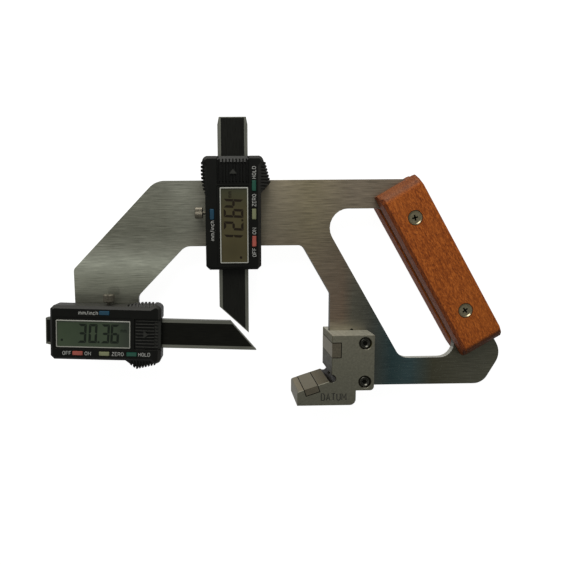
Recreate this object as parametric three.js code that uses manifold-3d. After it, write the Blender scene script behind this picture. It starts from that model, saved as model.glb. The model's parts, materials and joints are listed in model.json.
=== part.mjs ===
// Digital rail-wear gauge: a bent steel plate with a wooden handle, a slotted datum
// block that hooks under the rail head, and two digital calipers on the plate's face.
// Millimetres. The plate's front face is z = 0 and +z points out of it, towards the
// displays. +x runs along the bar to the handle, and +y to the free end of the depth beam.
import * as THREE from 'three';
import Module from 'manifold-3d';
import { mergeVertices } from 'three/addons/utils/BufferGeometryUtils.js';

const wasm = await Module();
wasm.setup();

// ---- driving dimensions -----------------------------------------------------------------

const GAP = 0.3;                    // clearance between pieces that touch
const FLOOR_Z = -14;                // back of the handle, the lowest face of the gauge
const ORIGIN_X = 55.7;              // middle of the gauge's box along the bar
const ORIGIN_Y = -7.4;              // middle of the gauge's box across the bar

// Frame plate
const PLATE_THICK = 4;
const BAR_TOP = 38.4;
const BAR_BOTTOM = 2.4;
const LEG_LEFT = -58;
const LEG_RIGHT = -22.6;
const LEG_END = -57;
const DIAGONAL_SLOPE = 1.032;       // rise over run of the arm between bar and side leg
const OUTER_DIAGONAL = [-36.3, 12.6];
const INNER_DIAGONAL = [-9.9, -12.1];
const CENTRE_LEG_LEFT = 85.7;
const FOOT_LEFT = 90;               // edge of the plate inside the datum block
const FOOT_STEP = -48;
const PLATE_BOTTOM = -78.5;
const HANDLE_ANGLE = -Math.PI / 3;  // handle's long axis from +x
const CENTRE_LEG_OFFSET = 61.7;     // sloping edges, measured square to the handle's axis
const OPENING_LEFT_OFFSET = 78.3;
const OPENING_RIGHT_OFFSET = 110.2;
const PLATE_RIGHT_OFFSET = 130.5;
const CORNER_CHAMFER_OFFSET = 190.9;
const OPENING_TOP = 22.6;
const OPENING_BOTTOM = -62.8;
const DOWEL_HOLE = [98.4, -46.3];
const DOWEL_HOLE_RADIUS = 1;

// Handle, along (d) and square to (n) its own axis
const HANDLE_START = 30.2;
const HANDLE_END = 133.6;
const HANDLE_NEAR = 109.2;
const HANDLE_FAR = 133.4;
const HANDLE_FRONT = 10;
const HANDLE_END_ROUND = 7.2;       // length of each rounded end
const HANDLE_END_EDGE = 3;          // thickness left at the very end
const HANDLE_SCREWS = [50.2, 109.1];
const HANDLE_SCREW_LINE = 120.7;
const HANDLE_SCREW_RADIUS = 1.9;
const HANDLE_HEAD_RADIUS = 3.95;
const HANDLE_HEAD_DEPTH = 2.2;
const HANDLE_NUT_RADIUS = 4;
const HANDLE_NUT_THICK = 3;

// Datum block
const BLOCK_FRONT = 15.7;
const BLOCK_BACK = -12.7;
const BLOCK_LEFT = 84.15;
const BLOCK_RIGHT = 107.5;
const BLOCK_TOP = -46.2;
const BLOCK_STEP_X = 97.55;
const BLOCK_STEP_Y = -77;
const BLOCK_BOTTOM = -85.2;
const ARM_LEFT = 65.2;
const ARM_PITCH = Math.atan(1 / 3); // slope of the underside of a rail head
const ARM_POINT = [72.6, -75.1];    // a point on the arm's sloping face
const RELIEF_CENTRE = [84.3, -70.2];
const RELIEF_RADIUS = 2.15;
const SIDE_INSERT = { width: 4.85, top: -50.5, height: 7.8 };
const UNDER_INSERT = { start: 69.2, length: 7.5, depth: 3.5 };
const BLOCK_SCREWS = { upper: [102.35, -50.75], lower: [102.35, -72.2] };
const BLOCK_HEAD_RADIUS = 2.75;
const BLOCK_BORE_RADIUS = 3.5;
const BLOCK_SCREW_RADIUS = 1.5;
const BLOCK_SCREW_END = -10;

// Digital calipers. u runs along the beam towards the battery, v across it
const SIDE_PLACE = { x: -45.24, y: -43.74, turn: THREE.MathUtils.degToRad(-2.17) };
const DEPTH_PLACE = { x: 31.22, y: 13.48, turn: Math.PI / 2 };
const BODY_START = -23.5;
const BODY_END = 36.5;
const BODY_HALF = 14.85;
const BODY_BACK = 1;
const BODY_FRONT = 13.4;
const BODY_EDGE = 1.5;              // bevel round the front face
const WALL = 1.5;
const SKIN_BACK = 11.9;             // inside of the housing's front wall
const BEAM_HALF = 8;
const BEAM_BACK = 5.1;
const BEAM_FRONT = 8.6;
const STRIP_HALF = 6.1;
const STRIP_THICK = 0.3;
const SIDE_BEAM = { square: -27, short: 74.2, long: 89 };
const DEPTH_BEAM = { square: 57, short: -44, long: -58.7 };
const BEAM_LEAD = [4, 0.8];         // lead-in chamfer at the square end
const FRAME_START = -21.7;
const FRAME_END = 34.7;
const FRAME_HALF = 12.9;
const RAIL_TOP = 8.8;
const GIB = { start: -20, end: 33, inner: 8.3, outer: 8.7 };
const LOCK_U = 7;
const LOCK_Z = 6.85;
const LOCK_RADIUS = 1;
const LOCK_PAD = [9.2, 10.4];
const LOCK_TIP = 10.7;
const LOCK_HEAD = { start: 16.4, end: 20.7, radius: 3.05 };
const MOUNT_SCREWS = [-6, 16];
const MOUNT_RADIUS = 1.4;
const MOUNT_HEAD_RADIUS = 2.75;
const MOUNT_HEAD_THICK = 1.8;
const HOUSING_SCREWS = { inner: [-18.4, 10.9], outer: [30.5, -11] };
const HOUSING_SCREW_RADIUS = 0.9;
const BOSS_RADIUS = 1.8;
const BOARD = { start: -21.2, end: 34.2, half: 12.4, back: 9.1, front: 9.9 };
const LCD_OFFSET = -0.4;            // display centre across the body
const LCD_SIZE = [40, 15];
const LCD_RIM = 0.7;
const LCD_LEDGE = 12.6;
const LCD_FRONT = 13;
const BUTTON_SIZE = [5.7, 2.3];
const BUTTON_FLANGE = 0.6;
const BUTTON_TOP = 13.9;
const BUTTONS = { power: [-8.4, -11.05], zero: [5.95, -11.05], hold: [20.75, -11.05],
  units: [6, 11.3] };
const COVER = { start: 22.3, half: 8.2, back: 12.4, front: 13.2 };
const TONGUE = { inner: 7.6, outer: 8.95, back: 10.9, front: 11.5 };
const CELL = { u: 28.6, radius: 5.8, back: 10.05, front: 12.1 };
const CLIP = { foot: 20.3, leaf: 22.2, thick: 0.3, half: 3 };

// ---- materials --------------------------------------------------------------------------

function finish(color, roughness, metalness) {
  return () => new THREE.MeshStandardMaterial({ color, roughness, metalness });
}

const plateSteel = finish(0x74756b, 0.42, 1);
const blockSteel = finish(0x6d6a5e, 0.5, 1);
const carbide = finish(0x6a5d4c, 0.45, 1);
const beamSteel = finish(0x9a988c, 0.35, 1);
const screwSteel = finish(0x57564d, 0.35, 1);
const darkScrew = finish(0x26261f, 0.4, 1);
const yellowZinc = finish(0x8f7c4b, 0.35, 1);
const nickel = finish(0xb3a795, 0.3, 1);
const brass = finish(0xb08d4f, 0.35, 1);
const castFrame = finish(0x2b2c2e, 0.6, 0.6);
const blackPlastic = finish(0x161617, 0.5, 0);
const silverRim = finish(0xb9b8b2, 0.4, 0.3);
const displayGlass = finish(0x4a5040, 0.2, 0);
const boardGreen = finish(0x1f5a38, 0.6, 0);
const scaleBlack = finish(0x0c0d0c, 0.3, 0);
const wood = finish(0x9a4f23, 0.55, 0);
const buttonFinish = {
  power: finish(0xc4554d, 0.45, 0),
  zero: finish(0xa6a45b, 0.45, 0),
  hold: finish(0x1f6e55, 0.45, 0),
  units: finish(0x1f5f8e, 0.45, 0),
};

// ---- solids -----------------------------------------------------------------------------

function solid(geometry) {
  const bare = geometry.clone();
  bare.deleteAttribute('normal');
  bare.deleteAttribute('uv');
  const merged = mergeVertices(bare, 1e-4);
  return new wasm.Manifold(new wasm.Mesh({
    numProp: 3,
    vertProperties: new Float32Array(merged.attributes.position.array),
    triVerts: new Uint32Array(merged.index.array),
  }));
}

function geometryOf(body) {
  const mesh = body.getMesh();
  const geometry = new THREE.BufferGeometry();
  geometry.setAttribute('position', new THREE.BufferAttribute(mesh.vertProperties, 3));
  geometry.setIndex(new THREE.BufferAttribute(mesh.triVerts, 1));
  geometry.computeVertexNormals();
  return geometry;
}

function box(x0, x1, y0, y1, z0, z1) {
  const geometry = new THREE.BoxGeometry(x1 - x0, y1 - y0, z1 - z0);
  geometry.translate((x0 + x1) / 2, (y0 + y1) / 2, (z0 + z1) / 2);
  return solid(geometry);
}

// A round or many-sided rod along z
function rod(x, y, z0, z1, radius, sides = 20, backRadius = radius) {
  const geometry = new THREE.CylinderGeometry(radius, backRadius, z1 - z0, sides);
  geometry.rotateX(Math.PI / 2);
  geometry.translate(x, y, (z0 + z1) / 2);
  return solid(geometry);
}

// A rod along y, for the lock screw
function crossRod(x, z, y0, y1, radius, sides = 20) {
  const geometry = new THREE.CylinderGeometry(radius, radius, y1 - y0, sides);
  geometry.translate(x, (y0 + y1) / 2, z);
  return solid(geometry);
}

// A shape from corners [x, y, radius], each rounded by an arc
function outline(corners) {
  const shape = new THREE.Shape();
  corners.forEach(([x, y, radius = 0], i) => {
    const corner = new THREE.Vector2(x, y);
    const before = corners[(i + corners.length - 1) % corners.length];
    const after = corners[(i + 1) % corners.length];
    const back = new THREE.Vector2(before[0], before[1]).sub(corner).normalize();
    const ahead = new THREE.Vector2(after[0], after[1]).sub(corner).normalize();
    const half = Math.acos(THREE.MathUtils.clamp(back.dot(ahead), -1, 1)) / 2;
    const start = corner.clone().addScaledVector(back, radius / Math.tan(half));
    if (i === 0) shape.moveTo(start.x, start.y);
    else shape.lineTo(start.x, start.y);
    if (radius > 0) {
      const end = corner.clone().addScaledVector(ahead, radius / Math.tan(half));
      const middle = back.clone().add(ahead).setLength(radius / Math.sin(half)).add(corner);
      const from = Math.atan2(start.y - middle.y, start.x - middle.x);
      const to = Math.atan2(end.y - middle.y, end.x - middle.x);
      shape.absarc(middle.x, middle.y, radius, from, to, back.cross(ahead) > 0);
    }
  });
  shape.closePath();
  return shape;
}

function slab(shape, z0, z1, curveSegments = 4) {
  const geometry = new THREE.ExtrudeGeometry(shape,
    { depth: z1 - z0, bevelEnabled: false, curveSegments });
  geometry.translate(0, 0, z0);
  return solid(geometry);
}

// Points moved inwards, off every edge by the same distance
function inset(points, distance) {
  return points.map((point, i) => {
    const before = points[(i + points.length - 1) % points.length];
    const after = points[(i + 1) % points.length];
    const first = new THREE.Vector2(before.y - point.y, point.x - before.x).normalize();
    const second = new THREE.Vector2(point.y - after.y, after.x - point.x).normalize();
    const mitre = first.clone().add(second).multiplyScalar(distance / (1 + first.dot(second)));
    return point.clone().add(mitre);
  });
}

// A closed body through outlines of equal length, [z, points], from back to front
function loft(levels) {
  const count = levels[0][1].length;
  const vertices = levels.flatMap(([z, points]) => points.flatMap((p) => [p.x, p.y, z]));
  const triangles = [];
  for (let level = 0; level + 1 < levels.length; level++) {
    for (let i = 0; i < count; i++) {
      const a = level * count + i;
      const b = level * count + (i + 1) % count;
      triangles.push(a, b, b + count, a, b + count, a + count);
    }
  }
  const top = (levels.length - 1) * count;
  for (const [a, b, c] of THREE.ShapeUtils.triangulateShape(levels.at(-1)[1], [])) {
    triangles.push(c, b, a, top + a, top + b, top + c);
  }
  const geometry = new THREE.BufferGeometry();
  geometry.setAttribute('position', new THREE.Float32BufferAttribute(vertices, 3));
  geometry.setIndex(triangles);
  return solid(geometry);
}

function cut(body, ...tools) {
  return tools.reduce((rest, tool) => rest.subtract(tool), body);
}

function join(body, ...others) {
  return others.reduce((whole, other) => whole.add(other), body);
}

function addPart(parent, name, body, material) {
  const mesh = new THREE.Mesh(geometryOf(body), material());
  mesh.name = name;
  parent.add(mesh);
}

// ---- frame plate ------------------------------------------------------------------------

const ACROSS = new THREE.Vector2(-Math.sin(HANDLE_ANGLE), Math.cos(HANDLE_ANGLE));

// Where the sloping edge at an offset square to the handle crosses y
function slopeX(offset, y) {
  return (offset - y * ACROSS.y) / ACROSS.x;
}

// The same for the chamfered corner, which slopes the other way
function chamferX(y) {
  return (CORNER_CHAMFER_OFFSET + y * ACROSS.y) / ACROSS.x;
}

function diagonalX([x, y], height) {
  return x + (height - y) / DIAGONAL_SLOPE;
}

function diagonalY([x, y], along) {
  return y + (along - x) * DIAGONAL_SLOPE;
}

// A point of a caliper, in the gauge's own axes
function placed(place, u, v) {
  const point = new THREE.Vector2(u, v).rotateAround(new THREE.Vector2(), place.turn);
  return [point.x + place.x, point.y + place.y];
}

function handlePoint(along, across) {
  const point = new THREE.Vector2(along, across)
    .rotateAround(new THREE.Vector2(), HANDLE_ANGLE);
  return [point.x, point.y];
}

function plateOutline() {
  const chamferY = (PLATE_RIGHT_OFFSET - CORNER_CHAMFER_OFFSET) / (2 * ACROSS.y);
  const kneeY = (CENTRE_LEG_OFFSET - CENTRE_LEG_LEFT * ACROSS.x) / ACROSS.y;
  return outline([
    [LEG_LEFT, LEG_END, 3],
    [LEG_RIGHT, LEG_END, 3],
    [LEG_RIGHT, diagonalY(INNER_DIAGONAL, LEG_RIGHT), 4],
    [diagonalX(INNER_DIAGONAL, BAR_BOTTOM), BAR_BOTTOM, 8],
    [slopeX(CENTRE_LEG_OFFSET, BAR_BOTTOM), BAR_BOTTOM, 4],
    [CENTRE_LEG_LEFT, kneeY, 2],
    [CENTRE_LEG_LEFT, FOOT_STEP, 0],
    [FOOT_LEFT, FOOT_STEP, 0],
    [FOOT_LEFT, PLATE_BOTTOM, 0],
    [chamferX(PLATE_BOTTOM), PLATE_BOTTOM, 9],
    [chamferX(chamferY), chamferY, 11],
    [slopeX(PLATE_RIGHT_OFFSET, BAR_TOP), BAR_TOP, 4],
    [diagonalX(OUTER_DIAGONAL, BAR_TOP), BAR_TOP, 12],
    [LEG_LEFT, diagonalY(OUTER_DIAGONAL, LEG_LEFT), 3],
  ]);
}

function handleOpening() {
  return outline([
    [slopeX(OPENING_LEFT_OFFSET, OPENING_TOP), OPENING_TOP, 10.65],
    [slopeX(OPENING_LEFT_OFFSET, OPENING_BOTTOM), OPENING_BOTTOM, 8],
    [slopeX(OPENING_RIGHT_OFFSET, OPENING_BOTTOM), OPENING_BOTTOM, 8],
    [slopeX(OPENING_RIGHT_OFFSET, OPENING_TOP), OPENING_TOP, 3],
  ]);
}

function framePlate() {
  const back = -PLATE_THICK - 1;
  const holes = [
    rod(...DOWEL_HOLE, back, 1, DOWEL_HOLE_RADIUS, 12),
    ...Object.values(BLOCK_SCREWS).map((at) => rod(...at, back, 1, BLOCK_SCREW_RADIUS + GAP)),
    ...HANDLE_SCREWS.map((along) => rod(...handlePoint(along, HANDLE_SCREW_LINE),
      back, 1, HANDLE_SCREW_RADIUS + GAP)),
  ];
  for (const place of [SIDE_PLACE, DEPTH_PLACE]) {
    for (const along of MOUNT_SCREWS) {
      holes.push(rod(...placed(place, along, 0), back, 1, MOUNT_RADIUS + GAP));
    }
  }
  return cut(slab(plateOutline(), -PLATE_THICK, 0),
    slab(handleOpening(), back, 1), ...holes);
}

// ---- datum block ------------------------------------------------------------------------

function armY(x) {
  return ARM_POINT[1] + (x - ARM_POINT[0]) * Math.tan(ARM_PITCH);
}

function underInsert(extra) {
  const { start, length, depth } = UNDER_INSERT;
  const geometry = new THREE.BoxGeometry(length + 2 * extra, depth + extra,
    BLOCK_FRONT - BLOCK_BACK + 2 * extra);
  geometry.translate(length / 2, -(depth + extra) / 2, 0);
  geometry.rotateZ(ARM_PITCH);
  geometry.translate(start, armY(start), (BLOCK_FRONT + BLOCK_BACK) / 2);
  return solid(geometry);
}

function sideInsert(extra) {
  const { width, top, height } = SIDE_INSERT;
  return box(BLOCK_LEFT - extra, BLOCK_LEFT + width + extra, top - height - extra, top + extra,
    BLOCK_BACK - extra, BLOCK_FRONT + extra);
}

function datumBlock() {
  const shape = outline([
    [BLOCK_LEFT, BLOCK_TOP, 0],
    [BLOCK_LEFT, RELIEF_CENTRE[1], 0],
    [BLOCK_LEFT - 0.5, armY(BLOCK_LEFT - 0.5), 0],
    [ARM_LEFT, armY(ARM_LEFT), 0],
    [ARM_LEFT, BLOCK_BOTTOM, 0],
    [BLOCK_STEP_X, BLOCK_BOTTOM, 3.3],
    [BLOCK_STEP_X, BLOCK_STEP_Y, 0],
    [BLOCK_RIGHT, BLOCK_STEP_Y, 2.2],
    [BLOCK_RIGHT, BLOCK_TOP, 0],
  ]);
  const slot = box(CENTRE_LEG_LEFT - GAP, BLOCK_RIGHT + 1, PLATE_BOTTOM - GAP, BLOCK_TOP + 1,
    -PLATE_THICK - GAP, GAP);
  const bores = Object.values(BLOCK_SCREWS).map((at) => join(
    rod(...at, BLOCK_FRONT - 3.3, BLOCK_FRONT + 1, BLOCK_BORE_RADIUS, 28),
    rod(...at, BLOCK_SCREW_END - GAP, BLOCK_FRONT, BLOCK_SCREW_RADIUS + GAP)));
  return cut(slab(shape, BLOCK_BACK, BLOCK_FRONT),
    rod(...RELIEF_CENTRE, BLOCK_BACK - 1, BLOCK_FRONT + 1, RELIEF_RADIUS, 28),
    slot, sideInsert(GAP), underInsert(GAP), ...bores);
}

function blockScrew(at) {
  const headTop = BLOCK_FRONT - 0.4;
  const headBack = BLOCK_FRONT - 3;
  return cut(join(rod(...at, headBack, headTop, BLOCK_HEAD_RADIUS, 24),
    rod(...at, BLOCK_SCREW_END, headBack + 0.5, BLOCK_SCREW_RADIUS)),
  rod(...at, headTop - 1.6, headTop + 1, 1.45, 6));
}

// ---- handle, in its own axes: x along it, y across it ------------------------------------

function handleScale(side) {
  const shape = new THREE.Shape();
  const back = GAP;
  const rise = HANDLE_FRONT - HANDLE_END_EDGE;
  shape.moveTo(HANDLE_START, back);
  shape.lineTo(HANDLE_END, back);
  shape.lineTo(HANDLE_END, HANDLE_END_EDGE);
  shape.absellipse(HANDLE_END - HANDLE_END_ROUND, HANDLE_END_EDGE, HANDLE_END_ROUND, rise,
    0, Math.PI / 2);
  shape.absellipse(HANDLE_START + HANDLE_END_ROUND, HANDLE_END_EDGE, HANDLE_END_ROUND, rise,
    Math.PI / 2, Math.PI);
  shape.closePath();
  const geometry = new THREE.ExtrudeGeometry(shape,
    { depth: HANDLE_FAR - HANDLE_NEAR, bevelEnabled: false, curveSegments: 4 });
  geometry.rotateX(Math.PI / 2);
  geometry.translate(0, HANDLE_FAR, 0);
  if (side === 'rear') {
    geometry.rotateX(Math.PI);
    geometry.translate(0, HANDLE_FAR + HANDLE_NEAR, -PLATE_THICK);
  }
  return solid(geometry);
}

function frontScale() {
  const holes = HANDLE_SCREWS.map((along) => join(
    rod(along, HANDLE_SCREW_LINE, -1, HANDLE_FRONT, HANDLE_SCREW_RADIUS + GAP),
    rod(along, HANDLE_SCREW_LINE, HANDLE_FRONT - HANDLE_HEAD_DEPTH - GAP, HANDLE_FRONT + 0.1,
      HANDLE_HEAD_RADIUS + GAP, 28, HANDLE_SCREW_RADIUS + GAP)));
  return cut(handleScale('front'), ...holes);
}

function rearScale() {
  const holes = HANDLE_SCREWS.map((along) => join(
    rod(along, HANDLE_SCREW_LINE, FLOOR_Z - 1, 0, HANDLE_SCREW_RADIUS + GAP),
    rod(along, HANDLE_SCREW_LINE, FLOOR_Z - 1, FLOOR_Z + HANDLE_NUT_THICK + 1,
      HANDLE_NUT_RADIUS + GAP, 28)));
  return cut(handleScale('rear'), ...holes);
}

function handleScrew(along) {
  const top = HANDLE_FRONT - 0.15;
  const headBack = top - HANDLE_HEAD_DEPTH;
  const arm = [HANDLE_SCREW_RADIUS, 0.45];
  const recess = [arm, arm.toReversed()].map(([a, b]) => box(along - a, along + a,
    HANDLE_SCREW_LINE - b, HANDLE_SCREW_LINE + b, top - 1.2, top + 1));
  return cut(join(
    rod(along, HANDLE_SCREW_LINE, headBack, top, HANDLE_HEAD_RADIUS, 28, HANDLE_SCREW_RADIUS),
    rod(along, HANDLE_SCREW_LINE, FLOOR_Z + 0.8, headBack + 0.5, HANDLE_SCREW_RADIUS)),
  ...recess);
}

function handleNut(along) {
  const back = FLOOR_Z + 0.5;
  return cut(rod(along, HANDLE_SCREW_LINE, back, back + HANDLE_NUT_THICK, HANDLE_NUT_RADIUS, 6),
    rod(along, HANDLE_SCREW_LINE, back - 1, back + HANDLE_NUT_THICK + 1,
      HANDLE_SCREW_RADIUS + GAP));
}

// ---- digital caliper, in its own axes: x is u, y is v --------------------------------------

function housingOutline() {
  const points = outline([
    [BODY_START, BODY_HALF - 0.2, 2],
    [BODY_START, -BODY_HALF, 2],
    [16.6, -BODY_HALF, 0],
    [22.8, -19.1, 0],
    [33.6, -15.9, 3],
    [BODY_END, -BODY_HALF + 1.5, 2],
    [BODY_END, BODY_HALF - 0.5, 2],
    [33, BODY_HALF + 0.9, 3],
    [25.5, BODY_HALF + 1.65, 12],
    [18, BODY_HALF + 0.9, 3],
    [16, BODY_HALF - 0.2, 0],
  ]).extractPoints(3).shape;
  return points.filter((point, i) => point.distanceTo(points.at(i - 1)) > 1e-6);
}

function rectangle(u, v, length, width, radius) {
  return outline([
    [u - length / 2, v - width / 2, radius],
    [u + length / 2, v - width / 2, radius],
    [u + length / 2, v + width / 2, radius],
    [u - length / 2, v + width / 2, radius],
  ]);
}

function housing() {
  const edge = housingOutline();
  const shell = loft([[BODY_BACK, edge], [BODY_FRONT - BODY_EDGE, edge],
    [BODY_FRONT, inset(edge, BODY_EDGE)]]);
  const cavity = box(BODY_START + WALL, BODY_END - WALL, -BODY_HALF + WALL + 0.1,
    BODY_HALF - WALL - 0.1, BODY_BACK - 1, SKIN_BACK);
  const beamWay = box(BODY_START - 1, BODY_END + 1, -BEAM_HALF - 0.5, BEAM_HALF + 0.5,
    BODY_BACK - 1, BEAM_FRONT + GAP);
  const coverWay = join(
    box(COVER.start - GAP, BODY_END + 1, -COVER.half - GAP, COVER.half + GAP,
      SKIN_BACK - 1, BODY_FRONT + 1),
    box(BODY_END - 2 * WALL, BODY_END + 1, -TONGUE.outer - GAP, TONGUE.outer + GAP,
      TONGUE.back - GAP, SKIN_BACK));
  const window = join(
    slab(rectangle(0, LCD_OFFSET, ...LCD_SIZE, 0.5), LCD_LEDGE, BODY_FRONT + 1, 2),
    slab(rectangle(0, LCD_OFFSET, LCD_SIZE[0] - 2 * LCD_RIM, LCD_SIZE[1] - 2 * LCD_RIM, 0.3),
      SKIN_BACK - 1, BODY_FRONT + 1, 2));
  const buttonHoles = Object.values(BUTTONS).map(([u, v]) => slab(rectangle(u, v,
    BUTTON_SIZE[0] + 2 * GAP, BUTTON_SIZE[1] + 2 * GAP, 0.8), SKIN_BACK - 1, BODY_FRONT + 1, 2));
  const bosses = Object.values(HOUSING_SCREWS).map(([u, v]) => cut(
    rod(u, v, RAIL_TOP + GAP, SKIN_BACK + 0.5, BOSS_RADIUS, 14),
    rod(u, v, RAIL_TOP, SKIN_BACK - 0.4, HOUSING_SCREW_RADIUS + GAP, 12)));
  const lockHole = crossRod(LOCK_U, LOCK_Z, BODY_HALF - 3, BODY_HALF + 3, LOCK_RADIUS + GAP);
  return join(cut(shell, cavity, beamWay, coverWay, window, lockHole, ...buttonHoles),
    ...bosses);
}

function sliderFrame() {
  const body = box(FRAME_START, FRAME_END, -FRAME_HALF, FRAME_HALF, GAP, RAIL_TOP);
  const channel = box(FRAME_START - 1, FRAME_END + 1, -BEAM_HALF - 0.2, GIB.outer + GAP,
    BEAM_BACK - 0.2, RAIL_TOP + 1);
  const screwHoles = MOUNT_SCREWS.map((u) => rod(u, 0, 0, BEAM_BACK - 0.6, MOUNT_RADIUS + 0.2));
  const housingHoles = Object.values(HOUSING_SCREWS).map(([u, v]) => join(
    rod(u, v, 0, RAIL_TOP + 1, HOUSING_SCREW_RADIUS + GAP, 12),
    rod(u, v, 0, 1.9, BOSS_RADIUS + 0.1, 16)));
  const lockHole = crossRod(LOCK_U, LOCK_Z, GIB.outer, FRAME_HALF + 1, LOCK_RADIUS + GAP);
  return cut(body, channel, lockHole, ...screwHoles, ...housingHoles);
}

function mountScrew(u) {
  const headTop = -PLATE_THICK - 0.1;
  const head = rod(u, 0, headTop - MOUNT_HEAD_THICK, headTop, MOUNT_HEAD_RADIUS, 24,
    MOUNT_HEAD_RADIUS - 0.5);
  const shank = rod(u, 0, headTop - 0.5, BEAM_BACK - 1, MOUNT_RADIUS);
  return cut(join(head, shank), rod(u, 0, headTop - MOUNT_HEAD_THICK - 1,
    headTop - MOUNT_HEAD_THICK + 1.1, 1.2, 6));
}

function housingScrew([u, v]) {
  return cut(join(rod(u, v, 0.4, 1.5, BOSS_RADIUS - 0.2, 16),
    rod(u, v, 1.2, SKIN_BACK - 1.2, HOUSING_SCREW_RADIUS, 12)),
  box(u - 2, u + 2, v - 0.25, v + 0.25, 0, 0.9));
}

function gibStrip() {
  return box(GIB.start, GIB.end, GIB.inner, GIB.outer, BEAM_BACK + 0.1, BEAM_FRONT - 0.1);
}

function lockPad() {
  return crossRod(LOCK_U, LOCK_Z, ...LOCK_PAD, LOCK_RADIUS);
}

function lockScrew() {
  const { start, end, radius } = LOCK_HEAD;
  return join(crossRod(LOCK_U, LOCK_Z, LOCK_TIP, start + 1, LOCK_RADIUS, 16),
    crossRod(LOCK_U, LOCK_Z, start, end, radius, 28));
}

// The beam ends square behind the display and as a long point at the measuring end
function beamOutline({ square, short, long }, half, lead) {
  const inward = Math.sign(long - square);
  const [length, width] = lead;
  return outline([
    [square, half - width],
    [square + inward * length, half],
    [short, half],
    [long, -half],
    [square + inward * length, -half],
    [square, -half + width],
  ]);
}

function stripOutline({ square, short, long }, half) {
  const inward = Math.sign(long - square);
  const slope = (long - short) / (2 * BEAM_HALF);
  const end = (v) => (short + long) / 2 - slope * v - inward * 0.6;
  return outline([
    [square + inward * 0.5, half],
    [end(half), half],
    [end(-half), -half],
    [square + inward * 0.5, -half],
  ]);
}

function beam(ends) {
  const groove = slab(stripOutline(ends, STRIP_HALF + 0.1), BEAM_FRONT - 0.45, BEAM_FRONT + 1);
  return cut(slab(beamOutline(ends, BEAM_HALF, BEAM_LEAD), BEAM_BACK, BEAM_FRONT), groove);
}

function scaleStrip(ends) {
  const inner = { ...ends, square: ends.square + Math.sign(ends.long - ends.square) * 0.2 };
  return slab(stripOutline(inner, STRIP_HALF), BEAM_FRONT - 0.35,
    BEAM_FRONT - 0.35 + STRIP_THICK);
}

function board() {
  const notches = Object.values(HOUSING_SCREWS).map(([u, v]) => rod(u, v, 0, BODY_FRONT,
    BOSS_RADIUS + GAP, 16));
  return cut(box(BOARD.start, BOARD.end, -BOARD.half, BOARD.half, BOARD.back, BOARD.front),
    ...notches);
}

function lcdBezel() {
  const outer = slab(rectangle(0, LCD_OFFSET, LCD_SIZE[0] - 0.1, LCD_SIZE[1] - 0.1, 0.5),
    LCD_LEDGE + 0.1, BODY_FRONT + 0.1, 2);
  const inner = slab(rectangle(0, LCD_OFFSET, LCD_SIZE[0] - 2 * LCD_RIM,
    LCD_SIZE[1] - 2 * LCD_RIM, 0.3), 0, BODY_FRONT + 1, 2);
  return cut(outer, inner);
}

function lcdGlass() {
  return box(LCD_RIM + 0.1 - LCD_SIZE[0] / 2, LCD_SIZE[0] / 2 - LCD_RIM - 0.1,
    LCD_OFFSET - LCD_SIZE[1] / 2 + LCD_RIM + 0.1, LCD_OFFSET + LCD_SIZE[1] / 2 - LCD_RIM - 0.1,
    BOARD.front + 0.4, LCD_FRONT);
}

function button([u, v]) {
  const flangeTop = SKIN_BACK - GAP;
  return join(slab(rectangle(u, v, ...BUTTON_SIZE, 0.5), flangeTop - 0.3, BUTTON_TOP, 2),
    box(u - BUTTON_SIZE[0] / 2 - BUTTON_FLANGE, u + BUTTON_SIZE[0] / 2 + BUTTON_FLANGE,
      v - BUTTON_SIZE[1] / 2 - BUTTON_FLANGE, v + BUTTON_SIZE[1] / 2 + BUTTON_FLANGE,
      flangeTop - BUTTON_FLANGE, flangeTop));
}

function batteryCover() {
  const end = BODY_END - 0.2;
  const plate = box(COVER.start, end, -COVER.half, COVER.half, COVER.back, COVER.front);
  const runners = [-1, 1].map((side) => {
    const [inner, outer, web] = [TONGUE.inner, TONGUE.outer, COVER.half].map((v) => v * side);
    const low = Math.min(inner, outer);
    const high = Math.max(inner, outer);
    return join(box(COVER.start, end, low, high, TONGUE.back, TONGUE.front),
      box(COVER.start, end, Math.min(inner, web), Math.max(inner, web), TONGUE.back,
        COVER.back + 0.1));
  });
  return join(plate, ...runners);
}

function batteryCell() {
  return join(rod(CELL.u, 0, CELL.back + 0.4, CELL.front, CELL.radius, 36),
    rod(CELL.u, 0, CELL.back, CELL.front - 1, CELL.radius - 0.8, 36));
}

function batteryClip() {
  const { foot, leaf, thick, half } = CLIP;
  const low = BOARD.front + 0.1;
  return join(box(foot, leaf + thick, -half, half, low, low + thick),
    box(leaf, leaf + thick, -half, half, low, CELL.front));
}

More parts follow.
